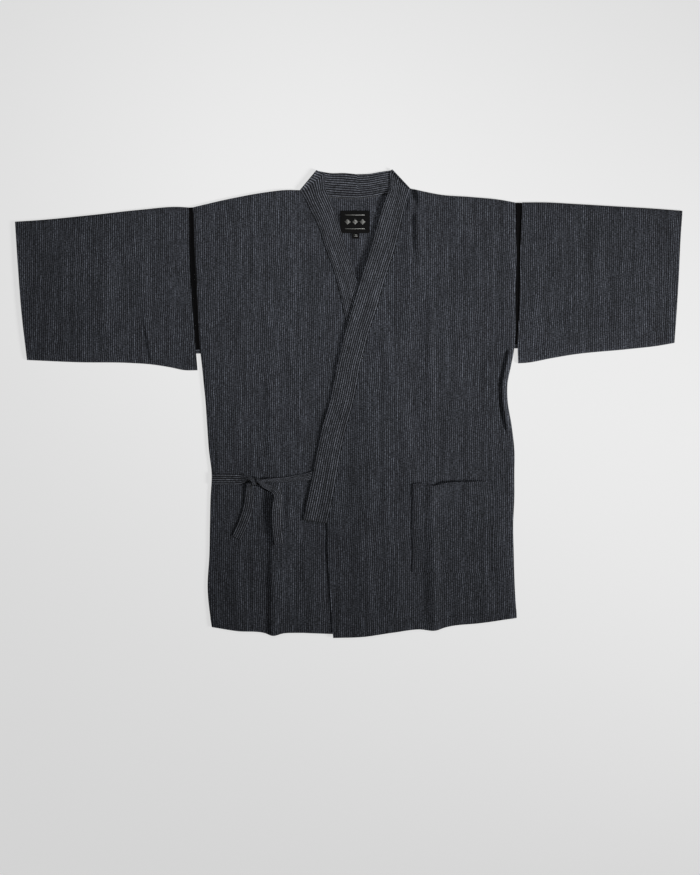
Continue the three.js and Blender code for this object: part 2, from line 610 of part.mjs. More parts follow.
// The lacing between sleeve and body, from the back armpit over the shoulder to the front armpit
function lacing({ shoulder, side, sign, sleeveOutline, armpit, ...body }) {
  const shoulderY = shoulder[shoulder.length - 1].y;
  const sideHem = body.frontHem[body.frontHem.length - 1].y;
  const top = shoulderY - LACING_FOLD - CLOTH / 2;
  const section = (y, z, out = 0) => {
    const onBody = bodyEdge(side, y) + sign * LACING_CLEAR;
    const onSleeve = lookup(sleeveOutline.armhole, "y", "x", y) - sign * LACING_CLEAR;
    return evenShares(onBody, onSleeve, 2).map((x) => new THREE.Vector3(x, y + out, z));
  };
  const rowHeights = bodyRows(body).map((share) => shoulderY + (sideHem - shoulderY) * share);
  const heights = [armpit + GAP, ...rowHeights.filter((y) => y > armpit + 5 && y < top - 3).reverse(), top];
  const rows = heights.map((y) => section(y, CLOTH / 2));
  for (const angle of FOLD_TURNS) {
    rows.push(section(top, CLOTH / 2 + LACING_FOLD * (1 + sin(angle)), LACING_FOLD * cos(angle)));
  }
  rows.push(...heights.reverse().map((y) => section(y, CLOTH / 2 + 2 * LACING_FOLD)));
  return sign > 0 ? rows : rows.map((row) => row.reverse());
}

// The stay that ends the lacing, sewn through both layers
function stay({ side, sign, sleeveOutline, armpit }) {
  const corners = [armpit, armpit - STAY_DEPTH].flatMap((y, i) => {
    const onBody = new THREE.Vector2(bodyEdge(side, y) + sign * 2 * GAP, y);
    const onSleeve = new THREE.Vector2(lookup(sleeveOutline.armhole, "y", "x", y) - sign * GAP, y);
    return i ? [onSleeve, onBody] : [onBody, onSleeve];
  });
  return slab(corners, 2 * CLOTH + GAP, 0);
}

// The height of the top of a piece at a point
function heightOn(mesh, x, y) {
  const ray = new THREE.Raycaster(new THREE.Vector3(x, y, 100), new THREE.Vector3(0, 0, -1));
  const [hit] = ray.intersectObject(mesh);
  return hit ? hit.point.z : 0;
}

// The pocket, made from the left front's own height, moved out, with its mouth a little open
function pocket(panel) {
  const mouth = curve(POCKET_MOUTH);
  const rows = [];
  for (let r = 0; r <= POCKET_GRID.rows; r += 1) {
    const down = r / POCKET_GRID.rows;
    const row = [];
    for (let c = 0; c <= POCKET_GRID.columns; c += 1) {
      const across = c / POCKET_GRID.columns;
      const top = mouth(across);
      const bottom = POCKET.bottomLeft + (POCKET.bottomRight - POCKET.bottomLeft) * across;
      const x = top.x + (POCKET.left + (POCKET.right - POCKET.left) * across - top.x) * down;
      const y = top.y + (bottom - top.y) * down;
      const gape = POCKET.gape * (1 - rise(down, 0, 0.35)) * sin(PI * across);
      row.push(new THREE.Vector3(x, y, heightOn(panel, x, y) + GAP + POCKET.clear + gape + CLOTH / 2));
    }
    rows.push(row);
  }
  return rows;
}

// A tie: a tape swept through its stations over a panel
function tie(stations, steps, panel) {
  const column = (name) => stations.map((station) => station[name]);
  const blend = (values, share) => {
    const place = share * (values.length - 1);
    const i = min(Math.floor(place), values.length - 2);
    const [a, b] = [values[i], values[i + 1]];
    const before = values[max(i - 1, 0)];
    const after = values[min(i + 2, values.length - 1)];
    const t = place - i;
    const curveIn = (b - before) / 2;
    const curveOut = (after - a) / 2;
    return (2 * t ** 3 - 3 * t ** 2 + 1) * a + (t ** 3 - 2 * t ** 2 + t) * curveIn
      + (3 * t ** 2 - 2 * t ** 3) * b + (t ** 3 - t ** 2) * curveOut;
  };
  const rows = [];
  const thickness = [];
  for (let i = 0; i <= steps; i += 1) {
    const share = i / steps;
    const [x, y, lift, width, bearing, thick] = ["x", "y", "lift", "width", "bearing", "thick"].map((name) =>
      blend(column(name), share),
    );
    const angle = THREE.MathUtils.degToRad(bearing);
    const row = [-0.5, 0, 0.5].map((side) => {
      const px = KNOT.x + x + side * width * cos(angle);
      const py = KNOT.y + y + side * width * sin(angle);
      const overKnot = lift >= KNOT.liftedFrom;
      const below = overKnot ? heightOn(panel, KNOT.x + x, KNOT.y + y) : heightOn(panel, px, py);
      return new THREE.Vector3(px, py, below + lift);
    });
    rows.push(row);
    thickness.push(thick);
  }
  return { rows, thickness };
}

const jinbei = new THREE.Group();

const RIGHT = {
  sign: -1,
  side: "sideRight",
  seam: "seamRight",
  free: "freeRight",
  shoulder: SHOULDER_RIGHT,
  neckSeam: NECK_SEAM_RIGHT,
  neckFree: NECK_FREE_RIGHT,
  frontHem: HEM_FRONT_RIGHT,
  backHem: HEM_BACK_RIGHT,
  neckY: SHOULDER_RIGHT[0].y,
  hemY: HEM_FRONT_RIGHT[0].y,
  sleeveOutline: SLEEVE_RIGHT,
  armpit: ARMPIT_RIGHT,
  underside: rightUnderside,
};
const LEFT = {
  sign: 1,
  side: "sideLeft",
  seam: "seamLeft",
  free: "freeLeft",
  shoulder: SHOULDER_LEFT,
  neckSeam: NECK_SEAM_LEFT,
  neckFree: NECK_FREE_LEFT,
  frontHem: HEM_FRONT_LEFT,
  backHem: HEM_BACK_LEFT,
  neckY: SHOULDER_LEFT[0].y,
  hemY: HEM_FRONT_LEFT[0].y,
  sleeveOutline: SLEEVE_LEFT,
  armpit: ARMPIT_LEFT,
  underside: leftUnderside,
};

addPiece(jinbei, "back_right", slab(backHalf(RIGHT), CLOTH, 0), "cotton");
addPiece(jinbei, "back_left", slab(backHalf(LEFT), CLOTH, 0), "cotton");
const frontRight = addPiece(jinbei, "front_right", wall(front(RIGHT), CLOTH), "cotton");
const frontLeft = addPiece(jinbei, "front_left", wall(front(LEFT), CLOTH), "cotton");
addPiece(jinbei, "pocket", wall(pocket(frontLeft), CLOTH), "cotton");

const sleeveRight = sleeve(SLEEVE_RIGHT, FOLDS_SLEEVE_RIGHT, RIGHT.sign);
const sleeveLeft = sleeve(SLEEVE_LEFT, FOLDS_SLEEVE_LEFT, LEFT.sign);
addPiece(jinbei, "sleeve_right", wall(sleeveRight, CLOTH, true), "cotton");
addPiece(jinbei, "sleeve_left", wall(sleeveLeft, CLOTH, true), "cotton");
addPiece(jinbei, "lacing_right", wall(lacing(RIGHT), CLOTH), "lacing");
addPiece(jinbei, "lacing_left", wall(lacing(LEFT), CLOTH), "lacing");
addPiece(jinbei, "stay_right", stay(RIGHT), "cotton");
addPiece(jinbei, "stay_left", stay(LEFT), "cotton");

addPiece(jinbei, "collar_right", wall(collar(RIGHT), BAND), "band");
addPiece(jinbei, "collar_left", wall(collar(LEFT), BAND), "band");

const tieSide = tie(TIE_SIDE, 57, frontRight);
const tieFront = tie(TIE_FRONT, 42, frontRight);
addPiece(jinbei, "tie_side", wall(tieSide.rows, tieSide.thickness), "band");
addPiece(jinbei, "tie_front", wall(tieFront.rows, tieFront.thickness), "band");

const plate = ({ left, right, bottom, top }) => {
  const corners = [[left, bottom], [right, bottom], [right, top], [left, top]];
  return slab(corners.map(([x, y]) => new THREE.Vector2(x, y)), LABEL, ON_BACK);
};
addPiece(jinbei, "label", plate(NECK_LABEL), "label");
addPiece(jinbei, "size_tab", plate(SIZE_TAB), "label");

// The origin is the middle of the resting face's bounding box.
const bounds = new THREE.Box3().setFromObject(jinbei);
const middle = bounds.getCenter(new THREE.Vector3());
jinbei.position.set(-middle.x, -middle.y, -bounds.min.z);

export default jinbei;
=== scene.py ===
from collections import namedtuple

import bpy
import numpy as np
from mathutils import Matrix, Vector, noise


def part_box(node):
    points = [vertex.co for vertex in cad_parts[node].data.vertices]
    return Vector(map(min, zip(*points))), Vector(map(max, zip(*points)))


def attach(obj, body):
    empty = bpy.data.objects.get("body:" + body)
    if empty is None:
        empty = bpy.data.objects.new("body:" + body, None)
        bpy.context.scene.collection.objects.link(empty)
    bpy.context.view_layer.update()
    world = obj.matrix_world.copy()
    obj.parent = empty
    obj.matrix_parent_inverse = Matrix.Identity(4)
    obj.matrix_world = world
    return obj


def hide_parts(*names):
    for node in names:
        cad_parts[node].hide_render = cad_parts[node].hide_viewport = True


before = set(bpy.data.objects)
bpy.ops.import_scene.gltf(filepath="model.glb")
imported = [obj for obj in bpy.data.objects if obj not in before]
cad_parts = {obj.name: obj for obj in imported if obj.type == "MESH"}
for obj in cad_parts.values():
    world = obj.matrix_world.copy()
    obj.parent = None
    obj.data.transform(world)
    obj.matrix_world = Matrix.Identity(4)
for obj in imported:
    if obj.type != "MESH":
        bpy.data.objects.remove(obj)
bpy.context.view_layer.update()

# The two backs. Crinkled charcoal cotton with fine pale stripes down its length, one layer,
# joined at the centre back and lying on the floor. Their pressed-in creases run down both sides.

MM = 0.001  # sizes below are millimetres, x from the centre-back seam
CAD_GAP = 0.3
ARMPIT_RIGHT = 95
CENTRE_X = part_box("back_left")[0].x / MM - CAD_GAP / 2
CENTRE_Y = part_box("stay_right")[1].y / MM - ARMPIT_RIGHT
CLOTH = 0.7
CAD_CLOTH = 1.2
PANEL_WIDE = 270
BACK_LONG = 780

# The heights at which the edges below were measured.
HEIGHTS = [
    377, 344, 304, 272, 237, 202, 162, 120, 92, 66, 36, 6, -38, -80, -125, -165, -210, -262, -326,
    -375, -410,
]
SIDES = {
    "right": [
        -288, -287, -285, -284, -282, -280, -278, -276, -274, -271, -268, -265, -262, -259, -254,
        -256, -257, -258, -261, -256, -250,
    ],
    "left": [
        277, 278, 278, 279, 279, 278, 277, 277, 274, 269, 263, 263, 270, 275, 275, 275, 273, 274,
        276, 279, 280,
    ],
}
SHOULDER = {
    "right": [(-100, 373), (-126, 373), (-161, 369), (-222, 358), (-287, 343)],
    "left": [(93, 376), (119, 370), (145, 365), (198, 361), (250, 356), (277, 351)],
}
NECK_SEAM = {
    "right": [(0, 360), (-24, 361), (-49, 363), (-74, 367), (-98, 372)],
    "left": [(0, 360), (26, 363), (51, 368), (72, 371), (91, 375)],
}
BACK_HEM = {
    "right": [(0, -401), (-104, -399), (-205, -396), (-249, -389)],
    "left": [(0, -401), (110, -393), (215, -382), (278, -373)],
}
SIGN = {"right": -1, "left": 1}

# A crease: from x, y to x, y, its height, its reach to either side, and its fade at either end.
BACK_FOLDS = {
    "right": [
        (-151, 200, -149, -398, 0.5, 7, 9, 60, 0), (-60, 120, -66, -220, 0.4, 16, 14, 80, 90),
        (-214, -180, -206, -396, 0.45, 12, 15, 70, 0),
    ],
    "left": [
        (131, 220, 137, -392, 0.5, 8, 7, 60, 0), (58, 60, 63, -260, 0.4, 15, 17, 80, 90),
        (222, -140, 229, -380, 0.45, 14, 11, 70, 0),
    ],
}


def ease(value, start, end):
    """0 before the start, 1 after the end, smooth between."""
    share = np.clip((value - start) / (end - start), 0, 1)
    return share * share * (3 - 2 * share)


def round_in(distance, reach):
    """A quarter round, 0 at an edge and 1 from its reach inwards."""
    left = 1 - np.clip(distance / reach, 0, 1)
    return np.sqrt(1 - left * left)


def cubic(t, start, end, out, into):
    """A cubic from start to end, with its slopes out of the one and into the other."""
    return (
        (2 * t**3 - 3 * t**2 + 1) * start
        + (t**3 - 2 * t**2 + t) * out
        + (3 * t**2 - 2 * t**3) * end
        + (t**3 - t**2) * into
    )


PER_SPAN = 24


def dense(points):
    """Close points on a smooth curve through a table's points."""
    points = np.array(points, float)
    spans = np.diff(points, axis=0)
    steps = np.linalg.norm(spans, axis=1, keepdims=True)
    slopes = spans / steps
    middle = (slopes[:-1] * steps[1:] + slopes[1:] * steps[:-1]) / (steps[:-1] + steps[1:])
    tangents = np.vstack([slopes[:1], middle, slopes[-1:]])
    t = np.linspace(0, 1, PER_SPAN, endpoint=False)[:, None]
    close = [
        cubic(t, points[i], points[i + 1], tangents[i] * step, tangents[i + 1] * step)
        for i, step in enumerate(steps)
    ]
    return np.vstack([*close, points[-1:]])


def run_along(points):
    """The distance run along a row of points, up to each of them."""
    return np.concatenate([[0], np.cumsum(np.linalg.norm(np.diff(points, axis=0), axis=1))])


def points_at(points, length, at):
    """Points at given distances along a row of points."""
    return np.stack([np.interp(at, length, column) for column in points.T], -1)


def curve(points):
    """A smooth curve through a table's points, as a function of the share of its length."""
    close = dense(points)
    length = run_along(close)
    return lambda share: points_at(close, length, np.asarray(share) * length[-1])


def upright(points):
    """A smooth edge read by its height: x for each y."""
    close = dense(points)
    order = np.argsort(close[:, 1])
    return lambda y: np.interp(y, close[order, 1], close[order, 0])


def coons(top, bottom, inner, outer, down, across):
    """A grid of points between four edge curves, rows going down and columns going outwards."""
    d, a = down[:, None, None], across[None, :, None]
    t, b, i, o = top(across), bottom(across), inner(down), outer(down)
    grid = (1 - d) * t[None] + d * b[None] + (1 - a) * i[:, None] + a * o[:, None]
    top_in, top_out, low_in, low_out = top(0.0), top(1.0), bottom(0.0), bottom(1.0)
    return grid - (1 - d) * ((1 - a) * top_in + a * top_out) - d * ((1 - a) * low_in + a * low_out)


def fold_height(folds, x, y):
    """The height that a table of creases adds, steep on one side and soft on the other."""
    total = np.zeros_like(x, float)
    for from_x, from_y, to_x, to_y, height, minus, plus, fade_from, fade_to in folds:
        run = np.array([to_x - from_x, to_y - from_y], float)
        length = np.linalg.norm(run)
        run /= length
        along = (x - from_x) * run[0] + (y - from_y) * run[1]
        off = (x - from_x) * -run[1] + (y - from_y) * run[0]
        reach = np.where(off * -np.sign(run[1]) > 0, plus, minus)
        starts = ease(along, 0, fade_from) if fade_from else 1.0
        ends = ease(length - along, 0, fade_to) if fade_to else 1.0
        total += height * np.exp(-((off / reach) ** 2)) * starts * ends
    return total


def crumple(x, y, wide, tall, seed):
    """Soft unevenness of laid cotton, mostly within 1 either way, by its spots' width and height."""
    spots = np.stack([x / wide, y / tall, np.full_like(x, seed)], -1).reshape(-1, 3)
    values = [noise.noise(Vector(spot)) + 0.5 * noise.noise(Vector(spot * 2.1)) for spot in spots]
    return np.array(values).reshape(x.shape)


def rolled_steps(length, step, end, start=()):
    """Shares of a length: even steps, with given fine distances from its start and its end."""
    low, high = max(start, default=0), length - max(end)
    even = np.linspace(low, high, max(2, int(round((high - low) / step)) + 1))
    marks = np.concatenate([[0.0, *start], even, length - np.array([0.0, *end])])
    return np.unique(np.round(marks / length, 6))


def placed(name, data):
    """A new object in the scene."""
    made = bpy.data.objects.new(name, data)
    bpy.context.collection.objects.link(made)
    return made


def add_piece(name, points, faces, material):
    """A smooth mesh of points in millimetres, set in the part's frame."""
    mesh = bpy.data.meshes.new(name)
    mesh.from_pydata((points + (CENTRE_X, CENTRE_Y, 0)) * MM, [], faces)
    mesh.polygons.foreach_set("use_smooth", np.ones(len(faces), bool))
    mesh.materials.append(material)
    piece = placed(name, mesh)
    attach(piece, "root")
    return piece


def shell(name, middle, cloth, thickness, material, raised=0.0, ring=False):
    """A thin wall round a grid of middle points in millimetres, with its cloth's own coordinates."""
    rows, columns = middle.shape[:2]
    thickness, raised = (np.broadcast_to(size, (rows, columns)) for size in (thickness, raised))
    down = np.gradient(middle, axis=0)
    across = np.roll(middle, -1, 1) - np.roll(middle, 1, 1) if ring else np.gradient(middle, axis=1)
    normal = np.cross(down, across)
    normal /= np.linalg.norm(normal, axis=2, keepdims=True)
    if not ring and normal[..., 2].mean() < 0:
        return shell(name, middle[:, ::-1], cloth[:, ::-1], thickness[:, ::-1], material, raised[:, ::-1])
    upper = middle + normal * (thickness / 2 + raised)[..., None]
    lower = middle - normal * (thickness / 2)[..., None]
    points = np.concatenate([upper.reshape(-1, 3), lower.reshape(-1, 3)])

    wide = cloth.shape[1]
    last = columns if ring else columns - 1
    r, c = (a.ravel() for a in np.meshgrid(np.arange(rows - 1), np.arange(last), indexing="ij"))
    corner_rows = np.stack([r, r + 1, r + 1, r], 1)
    corner_columns = np.stack([c, c, c + 1, c + 1], 1)
    skin = corner_rows * columns + corner_columns % columns
    skin_cloth = corner_rows * wide + corner_columns
    faces, uvs = [skin, skin[:, ::-1] + rows * columns], [skin_cloth, skin_cloth[:, ::-1]]

    def rim(edge_rows, edge_columns):
        """The wall's rim along one row or one column."""
        ids = edge_rows * columns + edge_columns % columns
        at = edge_rows * wide + edge_columns
        below = ids + rows * columns
        faces.append(np.stack([ids[1:], ids[:-1], below[:-1], below[1:]], 1))
        uvs.append(np.stack([at[1:], at[:-1], at[:-1], at[1:]], 1))

    across_ids, down_ids = np.arange(last + 1), np.arange(rows)
    rim(0, across_ids)
    rim(rows - 1, across_ids[::-1])
    if not ring:
        rim(down_ids[::-1], 0)
        rim(down_ids, columns - 1)

    piece = add_piece(name, points, np.concatenate(faces).tolist(), material)
    places = cloth.reshape(-1, 2)[np.concatenate(uvs).ravel()] * MM
    layer = piece.data.uv_layers.new(name="cloth")
    layer.data.foreach_set("uv", places.astype(np.float32).ravel())
    return piece


ON_SEAM = 0.08


def square_seam(piece):
    """Keeps a half's edges at the centre-back seam square, where the other half meets it flush."""
    mesh = piece.data
    x = np.array([vertex.co.x for vertex in mesh.vertices]) / MM - CENTRE_X
    ends = np.array([edge.vertices[:] for edge in mesh.edges])
    sharp = (np.abs(x[ends]) < ON_SEAM).all(axis=1)
    mesh.attributes.new("sharp_edge", "BOOLEAN", "EDGE").data.foreach_set("value", sharp)


def node(tree, kind, inputs=(), **settings):
    """A shader node with its settings, and its inputs linked or given a value."""
    made = tree.nodes.new(kind)
    for name, value in settings.items():
        setattr(made, name, value)
    for key, value in dict(inputs).items():
        if isinstance(value, bpy.types.NodeSocket):
            tree.links.new(value, made.inputs[key])
        else:
            made.inputs[key].default_value = value
    return made


def calc(tree, operation, *values):
    """One sum of arithmetic in a material."""
    return node(tree, "ShaderNodeMath", enumerate(values), operation=operation).outputs[0]


def times(tree, first, second):
    return calc(tree, "MULTIPLY", first, second)


def blended(tree, share, first, second, blend_type="MIX"):
    """Two colours mixed, or the first one multiplied by the second."""
    inputs = {0: share, 6: first, 7: second}
    return node(tree, "ShaderNodeMix", inputs, data_type="RGBA", blend_type=blend_type).outputs[2]


def grey(tree, tone):
    return node(tree, "ShaderNodeCombineColor", {0: tone, 1: tone, 2: tone}).outputs[0]


def new_material(name, settings):
    """A material with its Principled BSDF, some of whose inputs are given."""
    material = bpy.data.materials.new(name)
    material.use_nodes = True
    shader = material.node_tree.nodes["Principled BSDF"]
    for key, value in settings.items():
        shader.inputs[key].default_value = value
    return material, material.node_tree, shader


def cover(tree, shader, colour, relief, strength, distance):
    """Joins a colour and a relief to the shader."""
    inputs = {"Height": relief, "Strength": strength, "Distance": distance}
    bump = node(tree, "ShaderNodeBump", inputs)
    tree.links.new(colour, shader.inputs["Base Color"])
    tree.links.new(bump.outputs[0], shader.inputs["Normal"])


def soft_step(tree, value, start, end, low, high):
    """A value taken smoothly from low to high as it goes from start to end."""
    inputs = {"Value": value, "From Min": start, "From Max": end, "To Min": low, "To Max": high}
    return node(tree, "ShaderNodeMapRange", inputs, interpolation_type="SMOOTHSTEP").outputs[0]


def speckle(tree, across, along, detail=2.0):
    """Noise between 0 and 1 from two cloth coordinates."""
    place = node(tree, "ShaderNodeCombineXYZ", {"X": across, "Y": along}).outputs[0]
    inputs = {"Vector": place, "Scale": 1.0, "Detail": detail, "Roughness": 0.6}
    return node(tree, "ShaderNodeTexNoise", inputs, noise_dimensions="2D").outputs[0]


STRIPE_PITCH = 3.65


def striped_weave():
    """Crinkled stripe: pale slubby yarns between near-black gaps, on charcoal plain weave."""
    tree = bpy.data.node_groups.new("crinkled stripe", "ShaderNodeTree")
    sockets = tree.interface
    starts = {"Across": 0.0, "Along": 0.0, "Pitch": STRIPE_PITCH * MM, "Waver": 1.0, "Breaks": 1.0}
    for name, start in starts.items():
        sockets.new_socket(name, in_out="INPUT", socket_type="NodeSocketFloat").default_value = start
    for name in ("Ground", "Stripe", "Gap"):
        sockets.new_socket(name, in_out="INPUT", socket_type="NodeSocketColor")
    for name, kind in (("Colour", "Color"), ("Relief", "Float"), ("Roughness", "Float")):
        sockets.new_socket(name, in_out="OUTPUT", socket_type=f"NodeSocket{kind}")
    given = tree.nodes.new("NodeGroupInput").outputs

    def grain(wide, tall, shift, detail):
        """Noise whose spots are about so many metres wide and tall."""
        place = calc(tree, "MULTIPLY_ADD", given["Across"], 1 / wide, shift)
        return speckle(tree, place, times(tree, given["Along"], 1 / tall), detail)

    def centred(value, reach):
        """A value between 0 and 1 taken to a reach either side of 0."""
        return times(tree, calc(tree, "SUBTRACT", value, 0.5), reach)

    def broken(value):
        """A value near 1 where it breaks a stripe less, by the group's own setting."""
        missing = calc(tree, "SUBTRACT", 1.0, value)
        return calc(tree, "SUBTRACT", 1.0, times(tree, missing, given["Breaks"]))

    slow = centred(grain(0.09, 0.06, 3.0, 1.0), 0.0065)
    quick = centred(grain(0.02, 0.024, 9.0, 1.0), 0.0014)
    waver = times(tree, calc(tree, "ADD", slow, quick), given["Waver"])
    across = calc(tree, "ADD", given["Across"], waver)
    turns = calc(tree, "DIVIDE", across, given["Pitch"])
    stripe = calc(tree, "FLOOR", turns)
    place = calc(tree, "SUBTRACT", turns, stripe)
    chance = node(tree, "ShaderNodeTexWhiteNoise", {"W": stripe}, noise_dimensions="1D").outputs["Value"]
    off = calc(tree, "ABSOLUTE", calc(tree, "SUBTRACT", place, 0.5))

    yarn = times(tree, stripe, 3.17)
    slub = speckle(tree, yarn, times(tree, given["Along"], 75.0))
    dash = speckle(tree, calc(tree, "ADD", yarn, 11.0), times(tree, given["Along"], 420.0), 1.0)
    threads = grain(0.0007, 0.0009, 0.0, 1.0)
    weft = grain(0.0042, 0.0016, 21.0, 1.0)
    pucker = grain(0.0032, 0.0045, 5.0, 1.0)
    cloud = grain(0.013, 0.09, 13.0, 3.0)

    pale = soft_step(tree, off, 0.12, 0.24, 1.0, 0.0)
    for value in (
        soft_step(tree, slub, 0.28, 0.66, 0.42, 1.0),
        soft_step(tree, dash, 0.3, 0.7, 0.45, 1.0),
        calc(tree, "MULTIPLY_ADD", chance, 0.5, 0.5),
    ):
        pale = times(tree, pale, broken(value))
    dark = soft_step(tree, weft, 0.34, 0.62, 1.0, 0.0)

    mixed = blended(tree, dark, given["Ground"], given["Gap"])
    mixed = blended(tree, pale, mixed, given["Stripe"])
    tone = soft_step(tree, threads, 0.25, 0.75, 0.7, 1.3)
    tone = times(tree, tone, soft_step(tree, cloud, 0.3, 0.7, 0.85, 1.15))
    tone = times(tree, tone, soft_step(tree, weft, 0.3, 0.7, 0.72, 1.28))
    colour = blended(tree, 1.0, mixed, grey(tree, tone), "MULTIPLY")

    relief = calc(tree, "MULTIPLY_ADD", pucker, 0.8, times(tree, pale, 0.3))
    relief = calc(tree, "MULTIPLY_ADD", threads, 0.12, relief)
    out = tree.nodes.new("NodeGroupOutput").inputs
    tree.links.new(colour, out["Colour"])
    tree.links.new(relief, out["Relief"])
    tree.links.new(soft_step(tree, threads, 0.2, 0.8, 0.82, 0.95), out["Roughness"])
    return tree


WEAVE = striped_weave()


def cloth_place(tree):
    """Where a point lies on its cloth, in metres across and along it."""
    flat = node(tree, "ShaderNodeUVMap", uv_map="cloth").outputs[0]
    place = node(tree, "ShaderNodeSeparateXYZ", {0: flat})
    return place.outputs["X"], place.outputs["Y"]


def cotton(name, **look):
    """The garment's cotton: the striped weave with its crinkle as relief, and a faint nap."""
    sheen = {"Specular IOR Level": 0.25, "Sheen Weight": 0.12, "Sheen Roughness": 0.5}
    material, tree, shader = new_material(name, sheen)
    across, along = cloth_place(tree)
    weave = tree.nodes.new("ShaderNodeGroup")
    weave.node_tree = WEAVE
    tree.links.new(across, weave.inputs["Across"])
    tree.links.new(along, weave.inputs["Along"])
    for key, value in look.items():
        weave.inputs[key].default_value = value
    cover(tree, shader, weave.outputs["Colour"], weave.outputs["Relief"], 0.8, 0.0005)
    tree.links.new(weave.outputs["Roughness"], shader.inputs["Roughness"])
    return material


COTTON = cotton(
    "striped cotton",
    Waver=0.9,
    Breaks=1.0,
    Ground=(0.0232, 0.0254, 0.0318, 1.0),
    Stripe=(0.166, 0.180, 0.218, 1.0),
    Gap=(0.0062, 0.0068, 0.0086, 1.0),
)


def seat(piece, node_name):
    """Hides the solid that a piece takes the place of."""
    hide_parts(node_name)


def cut(piece, node_name):
    """Hides the solid that a piece takes the place of, as seat does."""
    seat(piece, node_name)


def flat_area(grid):
    """The area of a grid of points seen from above, in square metres."""
    a, b = grid[1:, 1:, :2] - grid[:-1, :-1, :2], grid[1:, :-1, :2] - grid[:-1, 1:, :2]
    return float(np.abs(a[..., 0] * b[..., 1] - a[..., 1] * b[..., 0]).sum() / 2) * MM**2


SIDE_EDGE = {side: upright(list(zip(across, HEIGHTS))) for side, across in SIDES.items()}


def height_path(edge, start, end):
    """An upright edge as a function of the share of the way down between two points' heights."""
    def at(share):
        y = start[1] + (end[1] - start[1]) * share
        return np.stack([edge(y), y], -1)

    return at


def back(side):
    neck, hem = curve(NECK_SEAM[side] + SHOULDER[side][1:]), curve(BACK_HEM[side])
    centre = height_path(np.zeros_like, NECK_SEAM[side][0], BACK_HEM[side][0])
    outer = height_path(SIDE_EDGE[side], SHOULDER[side][-1], BACK_HEM[side][-1])
    down = rolled_steps(BACK_LONG, 6.5, end=(0.8, 2, 16, 17, 18))
    across = rolled_steps(PANEL_WIDE, 6.5, start=(2, 7), end=(2, 6))
    flat = coons(neck, hem, centre, outer, down, across)
    x, y = flat[..., 0], flat[..., 1]
    inwards = round_in(np.minimum(np.abs(x), np.abs(SIDE_EDGE[side](y) - x)), 14)
    lift = inwards * (fold_height(BACK_FOLDS[side], x, y) + 0.12 * (1 + crumple(x, y, 34, 120, 3.1)))
    middle = np.dstack([x, y, CLOTH / 2 + np.clip(lift, 0, 0.75)])
    piece = shell(f"back_{side}_cloth", middle, flat, CLOTH, COTTON)
    square_seam(piece)
    cut(piece, f"back_{side}")


for side in SIGN:
    back(side)


# The two fronts. The same cotton, lying on the backs, the left over the right. Packing pressed
# a crease down each, the left side seam rolls forward, and each hem is turned up and stitched.

# The edges of the collar, at the first 17 of the same heights.
BANDS = {
    "seam_right": [-101, -85, -66, -56, -43, -33, -24, -14, -7, -3, 2, 7, 18, 28, 36, 43, 52],
    "free_right": [-56, -42, -29, -19, -7, 2, 12, 24, 31, 36, 42, 48, 60, 69, 79, 87, 94],
    "free_left": [57, 45, 33, 24, 13, 2, -10, -22, -29, -35, -41, -47, -60, -69, -78, -86, -95],
    "seam_left": [93, 84, 75, 67, 56, 45, 34, 20, 13, 6, 1, -5, -17, -27, -35, -42, -52],
}
BAND_END = -210
LOWER_EDGE = {
    "right": [(52, -210), (51, -262), (47, -326), (44, -375), (42, -402)],
    "left": [(-52, -210), (-51, -262), (-47, -326), (-44, -375), (-42, -410)],
}
FRONT_HEM = {
    "right": [
        (42, -402), (-44, -403), (-104, -401), (-128, -402),
        (-144, -406), (-160, -401), (-205, -398), (-250, -391),
    ],
    "left": [
        (-42, -410), (10, -408), (66, -400), (110, -395),
        (136, -397), (156, -391), (215, -384), (279, -375),
    ],
}
